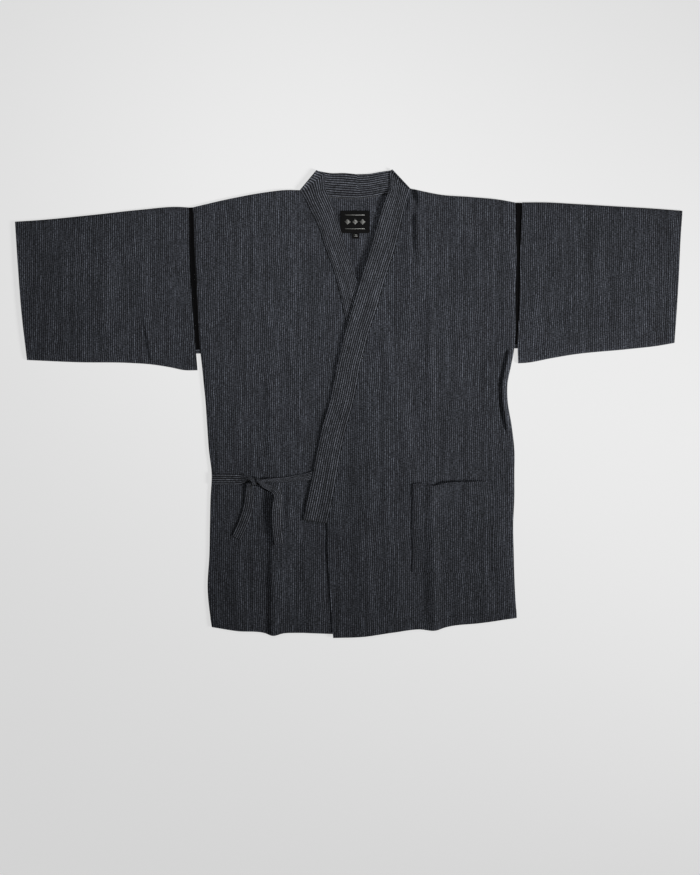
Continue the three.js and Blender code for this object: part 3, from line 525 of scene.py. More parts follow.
FRONT_FOLDS = {
    "right": [
        (-152, 110, -153, -118, 1.35, 5, 15, 90, 40), (-149, -150, -149, -412, 3.5, 4.2, 24, 40, 0),
        (-161, -146, -160, -222, -1.8, 8, 6, 8, 60), (-147, -148, -147, -204, 1.8, 9, 8, 6, 40),
        (-129, -138, -129, -222, -2.6, 5, 3.5, 6, 30), (-236, 90, -206, -60, 1.22, 14, 12, 40, 40),
        (-250, 330, -196, 150, 1.49, 20, 24, 40, 80), (-128, 366, -120, 250, 1.08, 10, 16, 0, 70),
        (-250, -60, -238, -120, 1.08, 4, 6, 20, 14), (-236, -92, -214, -124, 0.94, 5, 6, 14, 10),
        (-190, -84, -180, -124, 1.08, 5, 5, 18, 8), (-160, -80, -168, -122, 1.08, 5, 5, 18, 8),
        (-214, -240, -208, -405, 1.62, 18, 14, 70, 0), (-92, -230, -84, -405, 1.22, 16, 18, 80, 0),
        (-18, -240, -12, -405, 0.94, 12, 16, 70, 0), (-100, 60, -88, -120, 0.94, 14, 16, 60, 60),
    ],
    "left": [
        (129, 235, 131, -128, 1.22, 12, 5, 100, 60), (131, -100, 137, -412, 3.0, 13, 9, 60, 0),
        (93, 386, 106, 346, -3.4, 2.4, 2.0, 0, 12), (99, 388, 110, 346, 2.6, 2.6, 10, 0, 14),
        (114, 388, 116, 312, 1.8, 8, 15, 0, 60), (97, 340, 100, 240, -2.2, 4, 2.6, 16, 50),
        (104, 342, 107, 230, 1.2, 3.2, 12, 20, 60), (90, 360, 84, 336, -1.5, 1.8, 1.8, 6, 8),
        (236, 330, 208, 140, 1.49, 22, 26, 40, 80), (168, 372, 174, 262, 1.08, 12, 18, 0, 80),
        (70, 150, 84, -30, 1.22, 18, 20, 60, 60), (222, -300, 232, -400, 1.35, 18, 14, 50, 0),
        (64, -230, 74, -405, 1.22, 14, 16, 80, 0), (8, -190, 16, -408, 0.94, 16, 14, 80, 0),
        (240, 84, 214, 40, 1.22, 6, 9, 20, 24), (240, -52, 212, -18, 1.08, 6, 9, 20, 24),
        (98, -135, 234, -131, -2.03, 4.0, 4.0, 8, 8),
    ],
}
DOME = 1.3
NECK_RISE = 1.5
DEEPEST = -0.4
BAND_THICK = 2.0
TUCK_TOP, TUCK_BOTTOM, TUCK_FADE = 100, -56, 20
# Its crest and the valley beside it: distance from the side, reach inwards and outwards, height.
TUCK_ROLLS = ((8.8, 1.8, 7.5, 3.3), (12.6, 2.0, 1.3, -1.3))
HEM_TURN = 17.0
HEM_EXTRA = 0.45
FRONT_LONG = 779


def shoulder_line(side):
    """The shoulder's edge: y for each x."""
    close = dense(SHOULDER[side])
    across, up = close[np.argsort(close[:, 0])].T
    return lambda x: np.interp(x, across, up)


BAND_EDGE = {name: upright(list(zip(across, HEIGHTS))) for name, across in BANDS.items()}
LOW_EDGE = {side: upright(points) for side, points in LOWER_EDGE.items()}
SHOULDER_LINE = {side: shoulder_line(side) for side in SHOULDER}


def above_end(name, side, y):
    """An edge of the collar, and below its end the front's own edge."""
    return np.where(y > BAND_END, BAND_EDGE[f"{name}_{side}"](y), LOW_EDGE[side](y))


def dome(x, y, from_edge):
    """A front's own fullness: low at its inner edge, and raised beside the neck."""
    beside_neck = NECK_RISE * ease(y, 150, 285) * (1 - ease(np.abs(x), 120, 240))
    return DOME * ease(from_edge, 0, 60) + beside_neck


def puff(side, x, y):
    """Clear height of a front over what it lies on."""
    sign = SIGN[side]
    from_side = sign * (SIDE_EDGE[side](y) - x)
    held = round_in(from_side, 16) * round_in(SHOULDER_LINE[side](x) - y, 12)
    folds = fold_height(FRONT_FOLDS[side], x, y)
    uneven = 0.55 * crumple(x, y, 24, 100, 7.7 if sign > 0 else 1.3) + 0.3 * crumple(x, y, 11, 26, 4.1)
    if side == "right":
        # The left front holds the right one down from 6 mm outside its edge.
        uncovered = np.minimum(above_end("seam", "right", y), above_end("free", "left", y)) - 6 - x
        height = held * (dome(x, y, uncovered) + (folds + uneven) * ease(uncovered, 0, 15))
        return np.maximum(height, DEEPEST)
    height = held * (dome(x, y, x - above_end("seam", "left", y)) + folds + uneven)
    runs = ease(TUCK_TOP - y, 0, TUCK_FADE) * ease(y - TUCK_BOTTOM, 0, TUCK_FADE)
    for crest, inner, outer, rise in TUCK_ROLLS:
        reach = np.where(from_side > crest, inner, outer)
        height += runs * rise * np.exp(-(((from_side - crest) / reach) ** 2))
    return np.maximum(height, DEEPEST)


LAYER = CAD_CLOTH + CAD_GAP
STEP_CLEAR = 14
STEP_WIDE = 34


def overlap(x, y):
    """What the left front lies on, above the back: the right front, and on it the right collar."""
    free = above_end("free", "right", y) + STEP_CLEAR
    seam = BAND_EDGE["seam_right"](np.maximum(y, BAND_END)) - STEP_CLEAR
    collar = (BAND_THICK - CAD_CLOTH) * ease(y, BAND_END - 40, BAND_END - 8)
    past = 1 - ease(x, free, free + STEP_WIDE)
    return (LAYER + collar) * past - collar * (1 - ease(x, seam - STEP_WIDE, seam))


def underside(side, x, y):
    """The height of a front's underside above the table."""
    base = LAYER + puff(side, x, y)
    return base + overlap(x, y) if side == "left" else base


def turned(distance, width):
    """The extra thickness of a hem that is turned up to a width."""
    return HEM_EXTRA * (1 - ease(distance, width - 1.2, width))


def front(side):
    sign = SIGN[side]
    top, hem = curve(SHOULDER[side]), curve(FRONT_HEM[side])
    shoulder, low = SHOULDER[side], FRONT_HEM[side]
    inner = height_path(lambda y: above_end("seam", side, y) + sign * 0.15, shoulder[0], low[0])
    outer = height_path(SIDE_EDGE[side], shoulder[-1], low[-1])
    fine_hem = (0.7, 2, HEM_TURN - 2, HEM_TURN - 1, HEM_TURN, HEM_TURN + 2)
    down = rolled_steps(FRONT_LONG, 4.6, start=(0.8, 2, 4, 7, 11), end=fine_hem)
    near_neck = (0.8, 2.4, *np.arange(3.8, 26, 1.4)) if side == "left" else (0.8, 2.4)
    across = rolled_steps(PANEL_WIDE, 3.8, start=near_neck, end=(0.6, 1.3, *np.arange(2.2, 17, 1.1)))
    flat = coons(top, hem, inner, outer, down, across)
    x, y = flat[..., 0], flat[..., 1]
    middle = np.dstack([x, y, underside(side, x, y) + CAD_CLOTH / 2])
    raised = turned((1 - down)[:, None] * FRONT_LONG, HEM_TURN)
    piece = shell(f"front_{side}_cloth", middle, flat, CLOTH, COTTON, raised)
    cut(piece, f"front_{side}")


for side in SIGN:
    front(side)


# The collar. A long band of the same cotton, stripes running along it, folded double and sewn
# round the neck edge. It folds over at each neck point and ends part way down the fronts.

BAND_COTTON = cotton(
    "striped band",
    Waver=0.1,
    Breaks=0.75,
    Ground=(0.0105, 0.0117, 0.0148, 1.0),
    Stripe=(0.196, 0.208, 0.246, 1.0),
    Gap=(0.0025, 0.0027, 0.0034, 1.0),
)
NECK_FREE = {
    "right": [(0, 401), (-21, 403), (-46, 403), (-69, 407)],
    "left": [(0, 401), (23, 402), (40, 405), (60, 408)],
}
COLLAR_TURN = 1.5
COLLAR_LEAD = 6.0
COLLAR_WIDTH = 42.0
COLLAR_LIP = 0.9
LIP_RISE = 0.12
COLLAR_GROOVE = 0.8
ROWS_AT_BACK, ROWS_ROUND, ROWS_ON_FRONT = 30, 9, 150
COLLAR_ROWS = {}


def collar(side):
    sign = SIGN[side]
    back_seam, back_free = curve(NECK_SEAM[side]), curve(NECK_FREE[side])
    across = rolled_steps(COLLAR_WIDTH, 3.2, start=(0.3, 0.7, 1.2, 1.7, 2.6), end=(0.25, 0.6, 1.2, 2.2))

    def section(seam, free, height, lip=1.0):
        """A row across the collar, its seam edge a raised lip or let into the front's edge."""
        start = (COLLAR_LIP * lip - COLLAR_GROOVE * (1 - lip)) / COLLAR_WIDTH
        share = across * (1 + start) - start
        x, y = (seam[i] + (free[i] - seam[i]) * share for i in (0, 1))
        over = lip * LIP_RISE * (1 - ease(across * COLLAR_WIDTH, COLLAR_LIP - 0.2, COLLAR_LIP + 0.9))
        return np.stack([x, y, height(x, y) + over], -1)

    def level(height):
        return lambda x, y: np.full_like(x, height)

    def on_front(x, y):
        return underside(side, x, y) + BAND_THICK / 2

    sections = []
    for share in np.linspace(0, 1, ROWS_AT_BACK):
        sections.append(section(back_seam(share), back_free(share), level(BAND_THICK / 2)))
    seam, free = back_seam(1.0), back_free(1.0)
    crease = (free - seam) / np.linalg.norm(free - seam)
    outward = np.array([sign * crease[1], -sign * crease[0]])
    for angle in np.linspace(-80, 80, ROWS_ROUND) * np.pi / 180:
        shift = outward * COLLAR_TURN * np.cos(angle)
        height = BAND_THICK / 2 + COLLAR_TURN * (1 + np.sin(angle))
        sections.append(section(seam + shift, free + shift, level(height)))
    neck_y = SHOULDER[side][0][1]
    for y in np.linspace(neck_y, BAND_END, ROWS_ON_FRONT):
        run = (neck_y - y) / (neck_y - BAND_END)
        free_y = y + COLLAR_LEAD + (free[1] - neck_y - COLLAR_LEAD) * (1 - run) ** 3
        on_seam = np.array([BAND_EDGE[f"seam_{side}"](y), y])
        on_free = np.array([BAND_EDGE[f"free_{side}"](free_y), free_y]) if run else free
        sections.append(section(on_seam, on_free, on_front, 1 - ease(run, 0.0, 0.04)))
    middle = np.array(sections)
    run = run_along(middle[:, len(across) // 2])
    mean_width = flat_area(middle) / MM**2 / run[-1]
    cloth = np.dstack(np.broadcast_arrays(across * mean_width, run[:, None]))
    from_free, from_seam = (1 - across) * COLLAR_WIDTH, np.maximum(across * COLLAR_WIDTH - COLLAR_LIP, 0)
    full = np.minimum(round_in(from_free, 1.3), round_in(from_seam, 1.3))
    thickness = (BAND_THICK - 0.2) * (0.24 + 0.76 * full)
    piece = shell(f"collar_{side}_band", middle, cloth, thickness, BAND_COTTON)
    square_seam(piece)
    on_fronts = middle[-ROWS_ON_FRONT:]
    COLLAR_ROWS[side] = [on_fronts[2:-2, 5], on_fronts[2:-2, -5]]
    cut(piece, f"collar_{side}")


for side in SIGN:
    collar(side)


# The patch pocket on the left front. A square of the same cotton with a turned mouth, stitched
# round three sides. Its mouth stands a little open and wavy.

POCKET_MOUTH = [
    (97, -141), (116, -140), (131, -144), (150, -140), (198, -137), (228, -138), (236, -141),
]
POCKET_FOOT = [(97, -295), (236, -297)]
POCKET_WIDE, POCKET_DEEP = 139, 156
POCKET_TURN = 19.0
POCKET_GAPE = 2.1
POCKET_LIFT = 0.55


def pocket():
    sides = [curve([POCKET_MOUTH[end], POCKET_FOOT[end]]) for end in (0, -1)]
    down = rolled_steps(POCKET_DEEP, 4.2, start=(0.5, 1.4, 18, 19, 20), end=(0.6, 1.5, 3.2))
    across = rolled_steps(POCKET_WIDE, 4.0, start=(0.6, 1.5, 3.2), end=(0.6, 1.5, 3.2))
    flat = coons(curve(POCKET_MOUTH), curve(POCKET_FOOT), *sides, down, across)
    x, y = flat[..., 0], flat[..., 1]
    gape = POCKET_GAPE * (1 - ease(down, 0, 0.3))[:, None] * np.sin(np.pi * across) ** 0.6
    from_side = np.minimum(across, 1 - across) * POCKET_WIDE
    from_edge = np.minimum(from_side, (1 - down)[:, None] * POCKET_DEEP)
    sewn = 0.35 * (1 - round_in(from_edge, 3.0))
    z = underside("left", x, y) + LAYER + POCKET_LIFT + gape - sewn
    raised = turned(down[:, None] * POCKET_DEEP, POCKET_TURN)
    cut_beside = flat + (1.7, 0)  # its stripes don't quite meet the front's
    piece = shell("pocket_cloth", np.dstack([x, y, z]), cut_beside, CLOTH, COTTON, raised)
    cut(piece, "pocket")


pocket()


# The sleeves. Each is one piece of the cotton folded along the top and seamed below, pressed
# flat, with its stripes up and down. The cuff is turned in and stitched.

SLEEVE = {
    "right": {
        "top": [(-294, 343), (-310, 344), (-379, 339), (-461, 330), (-566, 320), (-598, 318)],
        "bottom": [(-279, 58), (-301, 58), (-326, 63), (-358, 68), (-402, 71), (-484, 72), (-577, 76)],
        "cuff": [(-598, 318), (-593, 242), (-587, 163), (-577, 76)],
        "armhole": [(-294, 343), (-291, 225), (-287, 162), (-282, 95), (-279, 58)],
    },
    "left": {
        "top": [(289, 352), (328, 352), (384, 349), (451, 345), (518, 341), (569, 337)],
        "bottom": [(282, 70), (297, 71), (340, 79), (375, 85), (474, 95), (527, 101), (555, 106)],
        "cuff": [(569, 337), (566, 295), (562, 213), (555, 106)],
        "armhole": [(289, 352), (286, 269), (284, 162), (281, 104), (282, 70)],
    },
}
SLEEVE_FOLDS = {
    "right": [
        (-376, 170, -357, 60, 1.9, 1.7, 13, 60, 0), (-520, 300, -505, 150, 0.78, 26, 26, 50, 60),
        (-330, 330, -322, 190, 0.91, 14, 18, 30, 70), (-450, 250, -438, 90, 0.91, 16, 12, 60, 30),
    ],
    "left": [
        (346, 347, 348, 170, 1.3, 8, 15, 20, 60), (486, 270, 474, 130, 0.78, 24, 28, 50, 50),
        (420, 330, 414, 190, 0.78, 16, 13, 40, 60), (318, 210, 312, 90, 0.91, 10, 14, 50, 30),
    ],
}
SLEEVE_TURN = 1.1
SLEEVE_DOME = 1.9
CUFF_TURN = 20.0
CUFF_ROW = {}


ARMHOLE = {side: upright(outline["armhole"]) for side, outline in SLEEVE.items()}


def sleeve(side):
    sign, outline = SIGN[side], SLEEVE[side]
    reach = abs(outline["top"][-1][0] - outline["top"][0][0])
    at_crease = (1.0, *np.arange(6, 54, 5), *np.arange(56, 92, 1.6)) if side == "right" else (1.0,)
    fine_cuff = (0.7, 2, CUFF_TURN - 2, CUFF_TURN - 1, CUFF_TURN, CUFF_TURN + 2)
    along = rolled_steps(reach, 5.0, start=at_crease, end=fine_cuff)
    depth = np.linalg.norm(curve(outline["top"])(along) - curve(outline["bottom"])(along), axis=1)
    inset = (SLEEVE_TURN + CLOTH / 2) / depth.mean()
    flat_shares = np.linspace(inset, 1 - inset, 54)
    edges = (curve(outline[name]) for name in ("cuff", "top", "bottom"))
    join = height_path(ARMHOLE[side], outline["armhole"][0], outline["armhole"][-1])
    layer = coons(join, *edges, along, flat_shares)
    x, y = layer[..., 0], layer[..., 1]
    edge = np.minimum(flat_shares, 1 - flat_shares) * depth[:, None]
    rounded = round_in(edge, 45)
    full = SLEEVE_DOME * rounded * (0.35 + 0.65 * np.sin(np.pi * np.clip(along, 0.12, 0.94)))[:, None]
    uneven = 0.34 * crumple(x, y, 28, 70, 5.5 + sign) + 0.2 * crumple(x, y, 13, 28, 2.4)
    lift = 2 * SLEEVE_TURN + full + rounded * (fold_height(SLEEVE_FOLDS[side], x, y) + uneven)
    upper = np.dstack([x, y, CLOTH / 2 + lift])
    lower = np.dstack([x, y, CLOTH / 2 + 0.1 * rounded * (1 + crumple(x, y, 30, 90, 8.8))])
    from_cuff = (1 - along) * reach
    CUFF_ROW[side] = upper[np.argmin(np.abs(from_cuff - (CUFF_TURN - 2))), 1:-1]
    toward_top = layer[:, 0] - layer[:, -1]
    toward_top /= np.linalg.norm(toward_top, axis=1, keepdims=True)

    def turn(edge_points, outward, angles):
        """The sleeve's rolled edge, from one layer to the other."""
        out = SLEEVE_TURN * np.cos(angles)[None, :, None] * outward * toward_top[:, None, :]
        z = CLOTH / 2 + SLEEVE_TURN * (1 + np.sin(angles))
        return np.dstack([edge_points[:, None, :2] + out, np.broadcast_to(z, out.shape[:2])])

    angles = np.linspace(-70, 70, 6) * np.pi / 180
    ring = np.concatenate(
        [upper, turn(upper[:, -1], -1, angles[::-1]), lower[:, ::-1], turn(lower[:, 0], 1, angles)], axis=1
    )
    if sign < 0:
        ring = ring[:, ::-1]
    closed = np.concatenate([ring, ring[:, :1]], axis=1)
    round_run = np.array([run_along(row) for row in closed])
    cloth = np.dstack([closed[..., 0], round_run])
    raised = turned(from_cuff[:, None], CUFF_TURN) * ease(ring[..., 2], 1.0, 2.0)
    piece = shell(f"sleeve_{side}_cloth", ring, cloth, CLOTH, COTTON, raised, ring=True)
    cut(piece, f"sleeve_{side}")


for side in SIGN:
    sleeve(side)


# The openwork that joins each sleeve to the body. Two edge cords and close rungs of black
# thread, worked by hand from the back armpit over the shoulder to the front armpit.

LACING_TURN = 0.95
LACING_SIDE = {"right": ARMPIT_RIGHT, "left": 104}
RUNG_PITCH = 1.45
RUNG_WIDE = 1.9
RUNG_SLANT = 1.2
CORD_WIDE = 2.6
CORD_SHARES = (0.16, 0.84)
RUNG_SHARES = (0.0, 0.3, 0.7, 1.0)
LACING_LIFT = 0.35


def tube(points, wide, high, sides=6):
    """Rings of a flattened thread along points, with closed ends, as vertices and faces."""
    points = np.array(points, float)
    along = np.gradient(points, axis=0)
    along /= np.linalg.norm(along, axis=1, keepdims=True)
    up = np.where(np.abs(along[:, 2:3]) > 0.8, (0.0, 1.0, 0.0), (0.0, 0.0, 1.0))
    across = np.cross(up, along)
    across /= np.linalg.norm(across, axis=1, keepdims=True)
    up = np.cross(along, across)
    angle = (np.arange(sides) * 2 * np.pi / sides)[:, None]
    wide, high = (np.broadcast_to(size, len(points))[:, None, None] for size in (wide, high))
    ring = (
        points[:, None]
        + across[:, None] * np.cos(angle) * wide / 2
        + up[:, None] * np.sin(angle) * high / 2
    )
    faces = []
    for start in range(0, (len(points) - 1) * sides, sides):
        for i in range(sides):
            j = (i + 1) % sides
            faces.append((start + i, start + j, start + sides + j, start + sides + i))
    faces.append(tuple(reversed(range(sides))))
    faces.append(tuple((len(points) - 1) * sides + i for i in range(sides)))
    return ring.reshape(-1, 3), faces


def join_threads(name, threads, material):
    """One mesh from many threads."""
    points, faces, start = [], [], 0
    for thread_points, thread_faces in threads:
        points.append(thread_points)
        faces += [tuple(i + start for i in face) for face in thread_faces]
        start += len(thread_points)
    return add_piece(name, np.concatenate(points), faces, material)


def mottle(tree, scale, detail):
    """Noise between 0 and 1 over an object's own coordinates."""
    place = node(tree, "ShaderNodeTexCoord").outputs["Object"]
    inputs = {"Vector": place, "Scale": scale, "Detail": detail}
    return node(tree, "ShaderNodeTexNoise", inputs).outputs[0]


def thread(name, colour, sheen):
    """Twisted thread: a soft fibrous grain on one dark or pale colour."""
    settings = {"Roughness": 0.8, "Specular IOR Level": 0.1, "Sheen Weight": sheen}
    material, tree, shader = new_material(name, settings)
    grain = mottle(tree, 2200.0, 3.0)
    tone = soft_step(tree, grain, 0.3, 0.7, 0.6, 1.4)
    mixed = blended(tree, 1.0, (*colour, 1.0), grey(tree, tone), "MULTIPLY")
    cover(tree, shader, mixed, grain, 0.6, 0.0002)
    return material


BLACK_THREAD = thread("black lacing thread", (0.002, 0.002, 0.0024), 0.0)


def lacing(side):
    sign = SIGN[side]
    top = SHOULDER[side][-1][1] - LACING_TURN - 0.6
    bottom = LACING_SIDE[side] - 0.3
    low = CLOTH / 2 + LACING_LIFT
    straight = top - bottom
    turn = np.pi * LACING_TURN
    total = 2 * straight + turn

    def place(run, share):
        """A point of the lacing a run of length from its back end, a share across from body to sleeve."""
        if run < straight:
            y, z = bottom + run, low
        elif run < straight + turn:
            angle = (run - straight) / LACING_TURN - np.pi / 2
            y = top + LACING_TURN * np.cos(angle)
            z = low + LACING_TURN * (1 + np.sin(angle))
        else:
            y, z = bottom + total - run, low + 2 * LACING_TURN
        body, sleeve_side = SIDE_EDGE[side](y) - sign * 0.1, ARMHOLE[side](y) + sign * 0.1
        return (body + (sleeve_side - body) * share, y, z)

    over_shoulder = straight + np.linspace(0.15, 0.85, 5) * turn
    runs = [*np.linspace(0, straight, 60), *over_shoulder, *np.linspace(straight + turn, total, 60)]
    threads = [tube([place(run, share) for run in runs], CORD_WIDE, 1.0) for share in CORD_SHARES]
    count = int(total / RUNG_PITCH)
    for i in range(count):
        run = (i + 0.5) * total / count
        slip = 0.5 * noise.noise(Vector((i * 0.7, sign * 3.0, 0.0)))
        slip += RUNG_SLANT if i % 2 else -RUNG_SLANT
        rung = [place(np.clip(run + slip * (share - 0.5), 0, total), share) for share in RUNG_SHARES]
        threads.append(tube(rung, RUNG_WIDE, 0.75, 5))
    piece = join_threads(f"lacing_{side}_threads", threads, BLACK_THREAD)
    seat(piece, f"lacing_{side}")


# The underarm stays. A small bridge of the same cotton ends each lacing, sewn to the body and
# to the sleeve below the openwork.

STAY_DEEP = 7.6
STAY_THICK = 1.9
STAY_HIGH = 1.55


def stay(side):
    sign = SIGN[side]
    down = rolled_steps(STAY_DEEP, 1.2, start=(0.3, 0.8), end=(0.3, 0.8))
    across = np.linspace(0, 1, 8)
    y = LACING_SIDE[side] - down * STAY_DEEP
    body, sleeve_side = SIDE_EDGE[side](y) - sign * 0.2, ARMHOLE[side](y) + sign * 0.2
    x = body[:, None] + (sleeve_side - body)[:, None] * across
    wide = np.abs(sleeve_side - body).mean()
    bow = np.sin(np.pi * across)
    middle = np.dstack(np.broadcast_arrays(x, y[:, None], STAY_HIGH - 0.35 * bow))
    edge = np.minimum(down, 1 - down) * STAY_DEEP
    thickness = STAY_THICK * (0.35 + 0.65 * round_in(edge, 1.6))[:, None] * (1 - 0.15 * bow)
    cloth = np.dstack(np.broadcast_arrays(down[:, None] * STAY_DEEP, across * wide))
    piece = shell(f"stay_{side}_bar", middle, cloth, thickness, COTTON)
    seat(piece, f"stay_{side}")


for side in SIGN:
    lacing(side)
    stay(side)


# The two ties. Narrow strips of the cotton folded to four layers and stitched along their
# edges. One comes from the right side seam and one from the left collar, and they are knotted
# once over the right front.

KNOT = (-176, -136)
TAPE = 1.4
# Along each tie, from its seam to its free end: place from the knot, height, width, bearing.
Station = namedtuple("Station", "x y lift width bearing thick", defaults=[TAPE])
TIE_SIDE = [
    (-77, 3, 1.0, 19, 90), (-52, 3, 1.0, 19, 90), (-32, 2.8, 1.1, 18, 90),
    (-21, 3.5, 2.6, 13, 88), (-14, 5.4, 5.0, 8.5, 80), (-8.5, 4.6, 6.4, 7, 55),
    (-5, 0, 6.9, 6.5, 25), (-3.4, -4.4, 6.3, 6.5, 8), (-2.6, -5.5, 3.9, 6.5, 0),
    (-1.4, -4.4, 1.5, 6.5, -8), (0.4, 0, 1.0, 6.5, -18), (2.0, 4.4, 1.5, 6.5, -8),
    (2.8, 5.5, 3.9, 6.5, 0), (3.8, 4.4, 6.3, 6.5, 8), (6, 0, 6.9, 6.5, 27),
    (10.5, -4.5, 6.2, 8, 46), (16, -8, 4.7, 9.5, 57), (24.5, -12, 2.7, 10.5, 58),
    (33, -16.8, 1.9, 12.5, 48), (37.5, -25.3, 1.6, 14.5, 22), (36.8, -38, 1.5, 16, 2),
    (35.3, -58, 1.4, 16.5, -3), (36.5, -84, 1.4, 16.5, 4), (39.8, -110, 1.4, 16.5, 8),
]
TIE_FRONT = [
    (97.2, 10.5, 1.0, 15, 79), (86, 7.5, 1.0, 12.5, 97), (71, 6, 1.0, 10.5, 100),
    (54, 3.4, 1.1, 8.5, 95), (36, 1.6, 1.7, 8.5, 92, 1.8), (20, 1.4, 2.9, 6.5, 90, 2.2),
    (8, 0, 3.9, 6.5, 90, 2.2), (0, 0, 3.9, 6.5, 90, 2.2), (-7, -1, 3.7, 6.5, 105, 2.2),
    (-11.5, -6.5, 2.8, 8.5, 135, 2.0), (-12, -15, 1.6, 12.5, 160, 1.6), (-11.5, -27.5, 1.1, 16.5, 165),
    (-15, -50, 1.0, 17.5, 163), (-23.5, -75, 1.0, 17.5, 158), (-34.5, -99, 1.0, 17.5, 155),
]
LIFTED_FROM = 2.4
TAPE_FLAT = 18.25


def blend(values, share):
    """A smooth curve through evenly spaced values."""
    values = np.array(values, float)
    last = len(values) - 1
    place = share * last
    i = np.minimum(place.astype(int), last - 1)
    t = place - i
    before, after = values[np.maximum(i - 1, 0)], values[np.minimum(i + 2, last)]
    start, end = values[i], values[i + 1]
    return cubic(t, start, end, (end - before) / 2, (after - start) / 2)


def tie(name, stations, steps, node_name):
    share = np.linspace(0, 1, steps)
    columns = zip(*(Station(*row) for row in stations))
    x, y, lift, width, bearing, thick = (blend(values, share)[:, None] for values in columns)
    across = np.array([-0.5, -0.47, -0.42, -0.3, -0.1, 0.1, 0.3, 0.42, 0.47, 0.5])
    angle = np.radians(bearing)
    px = KNOT[0] + x + across * (width * np.cos(angle))
    py = KNOT[1] + y + across * (width * np.sin(angle))
    own = underside("right", px, py)
    shared = underside("right", KNOT[0] + x, KNOT[1] + y)
    low = 1 - ease(lift, LIFTED_FROM - 0.8, LIFTED_FROM)
    base = CAD_CLOTH + own * low + shared * (1 - low)
    pleat = 0.35 * (1 - ease(width, 7, 13)) * np.cos(across * 4 * np.pi)
    middle = np.dstack([px, py, base + lift + pleat])
    run = run_along(middle[:, 4])
    cloth = np.dstack(np.broadcast_arrays(across * TAPE_FLAT + STRIPE_PITCH / 2, run[:, None]))
    edge = (0.5 - np.abs(across)) * width
    thickness = (thick - 0.15) * (0.35 + 0.65 * round_in(edge, 0.9))
    piece = shell(name, middle, cloth, thickness, BAND_COTTON)
    cut(piece, node_name)


tie("tie_side_tape", TIE_SIDE, 230, "tie_side")
tie("tie_front_tape", TIE_FRONT, 170, "tie_front")


# The neck label. A black woven tape folded in at its edges and caught down at the corners, with
# a small size tab under it. Both carry only a plain woven ornament.

LABEL_BOX = (-29, 22, 298, 337)  # left, right, bottom, top
TAB_BOX = (-9, 4, 288.5, 297.7)
LABEL_HIGH = 1.9
LABEL_THICK = 0.8


def woven_tape():
    """Black satin-woven label tape: fine crosswise ribs with a low sheen."""
    settings = {"Roughness": 0.6, "Specular IOR Level": 0.12}
    material, tree, shader = new_material("woven label tape", settings)
    across, along = cloth_place(tree)
    ribs = calc(tree, "SINE", times(tree, along, 9000.0))
    wide, tall = times(tree, across, 900.0), times(tree, along, 1400.0)
    spots = speckle(tree, wide, tall)
    colour = grey(tree, calc(tree, "MULTIPLY_ADD", spots, 0.003, 0.001))
    cover(tree, shader, colour, calc(tree, "MULTIPLY_ADD", ribs, 0.3, spots), 0.5, 0.0002)
    return material


LABEL_TAPE = woven_tape()
PALE_THREAD = thread("pale woven thread", (0.42, 0.42, 0.40), 0.1)


def label(name, box, node_name):
    left, right, bottom, top = box
    across = rolled_steps(right - left, 3.0, start=(0.25, 0.7), end=(0.25, 0.7))
    down = rolled_steps(top - bottom, 3.0, start=(0.25, 0.7), end=(0.25, 0.7))
    x, y = np.meshgrid(left + (right - left) * across, top - (top - bottom) * down)
    edge = np.minimum(np.minimum(x - left, right - x), np.minimum(y - bottom, top - y))
    z = LABEL_HIGH + 0.25 * ease(edge, 0, 9) + 0.08 * crumple(x, y, 14, 14, 6.6)
    thickness = LABEL_THICK * (0.4 + 0.6 * round_in(edge, 0.7))
    piece = shell(name, np.dstack([x, y, z]), np.dstack([x, y]), thickness, LABEL_TAPE)
    seat(piece, node_name)
    return piece


neck_label = label("neck_label_tape", LABEL_BOX, "label")
label("size_tab_tape", TAB_BOX, "size_tab")


# The woven ornament. Three plain lozenges between two lines on the label and two bars on the
# size tab, floated on the tape in raised pale thread.

LOZENGE_X = (-16.5, -3.5, 9.5)
LOZENGE_WIDE, LOZENGE_HIGH, LOZENGE_ROWS = 9.0, 9.0, 7
ORNAMENT_MIDDLE = (-3.5, 317.5)
ORNAMENT_HEIGHT = 2.75
LINE_OFF, LINE_HALF = 12.0, 17.0
TAB_BARS = (292.2, 294.6)
TAB_MIDDLE, TAB_HALF = -2.5, 3.0


def bar(x, y, half, height, bow, wide, high):
    """A short thread across the label, its middle a little higher than its ends."""
    points = [(x - half, y, height), (x, y, height + bow), (x + half, y, height)]
    return tube(points, wide, high, 5)


def ornament():
    middle, height = ORNAMENT_MIDDLE, ORNAMENT_HEIGHT
    threads = []
    for x in LOZENGE_X:
        for row in np.linspace(-1, 1, LOZENGE_ROWS):
            half = LOZENGE_WIDE / 2 * (1 - abs(row)) + 0.4
            y = middle[1] + row * LOZENGE_HIGH / 2
            threads.append(bar(x, y, half, height, 0.03, 0.95, 0.3))
    for y in (middle[1] - LINE_OFF, middle[1] + LINE_OFF):
        threads.append(bar(middle[0], y, LINE_HALF, height, 0.0, 0.9, 0.4))
    for y in TAB_BARS:
        threads.append(bar(TAB_MIDDLE, y, TAB_HALF, height - 0.15, 0.05, 0.8, 0.4))
    join_threads("label_ornament", threads, PALE_THREAD)


ornament()


# The machine stitching. Charcoal thread, one short stitch after another: round the pocket, along
# the hems and cuffs, and along both edges of the collar band.

SEWING_THREAD = thread("charcoal sewing thread", (0.02, 0.021, 0.026), 0.05)
STITCH_PITCH, STITCH_LONG, STITCH_WIDE, STITCH_HIGH = 3.0, 2.2, 0.5, 0.35
MOUTH_END = -143


def laid(path, height):
    """Close points along a path of x and y, at the height given there."""
    path = np.array(path, float)
    length = run_along(path)
    x, y = points_at(path, length, np.arange(0, length[-1], 2.0)).T
    return np.stack([x, y, height(x, y)], -1)


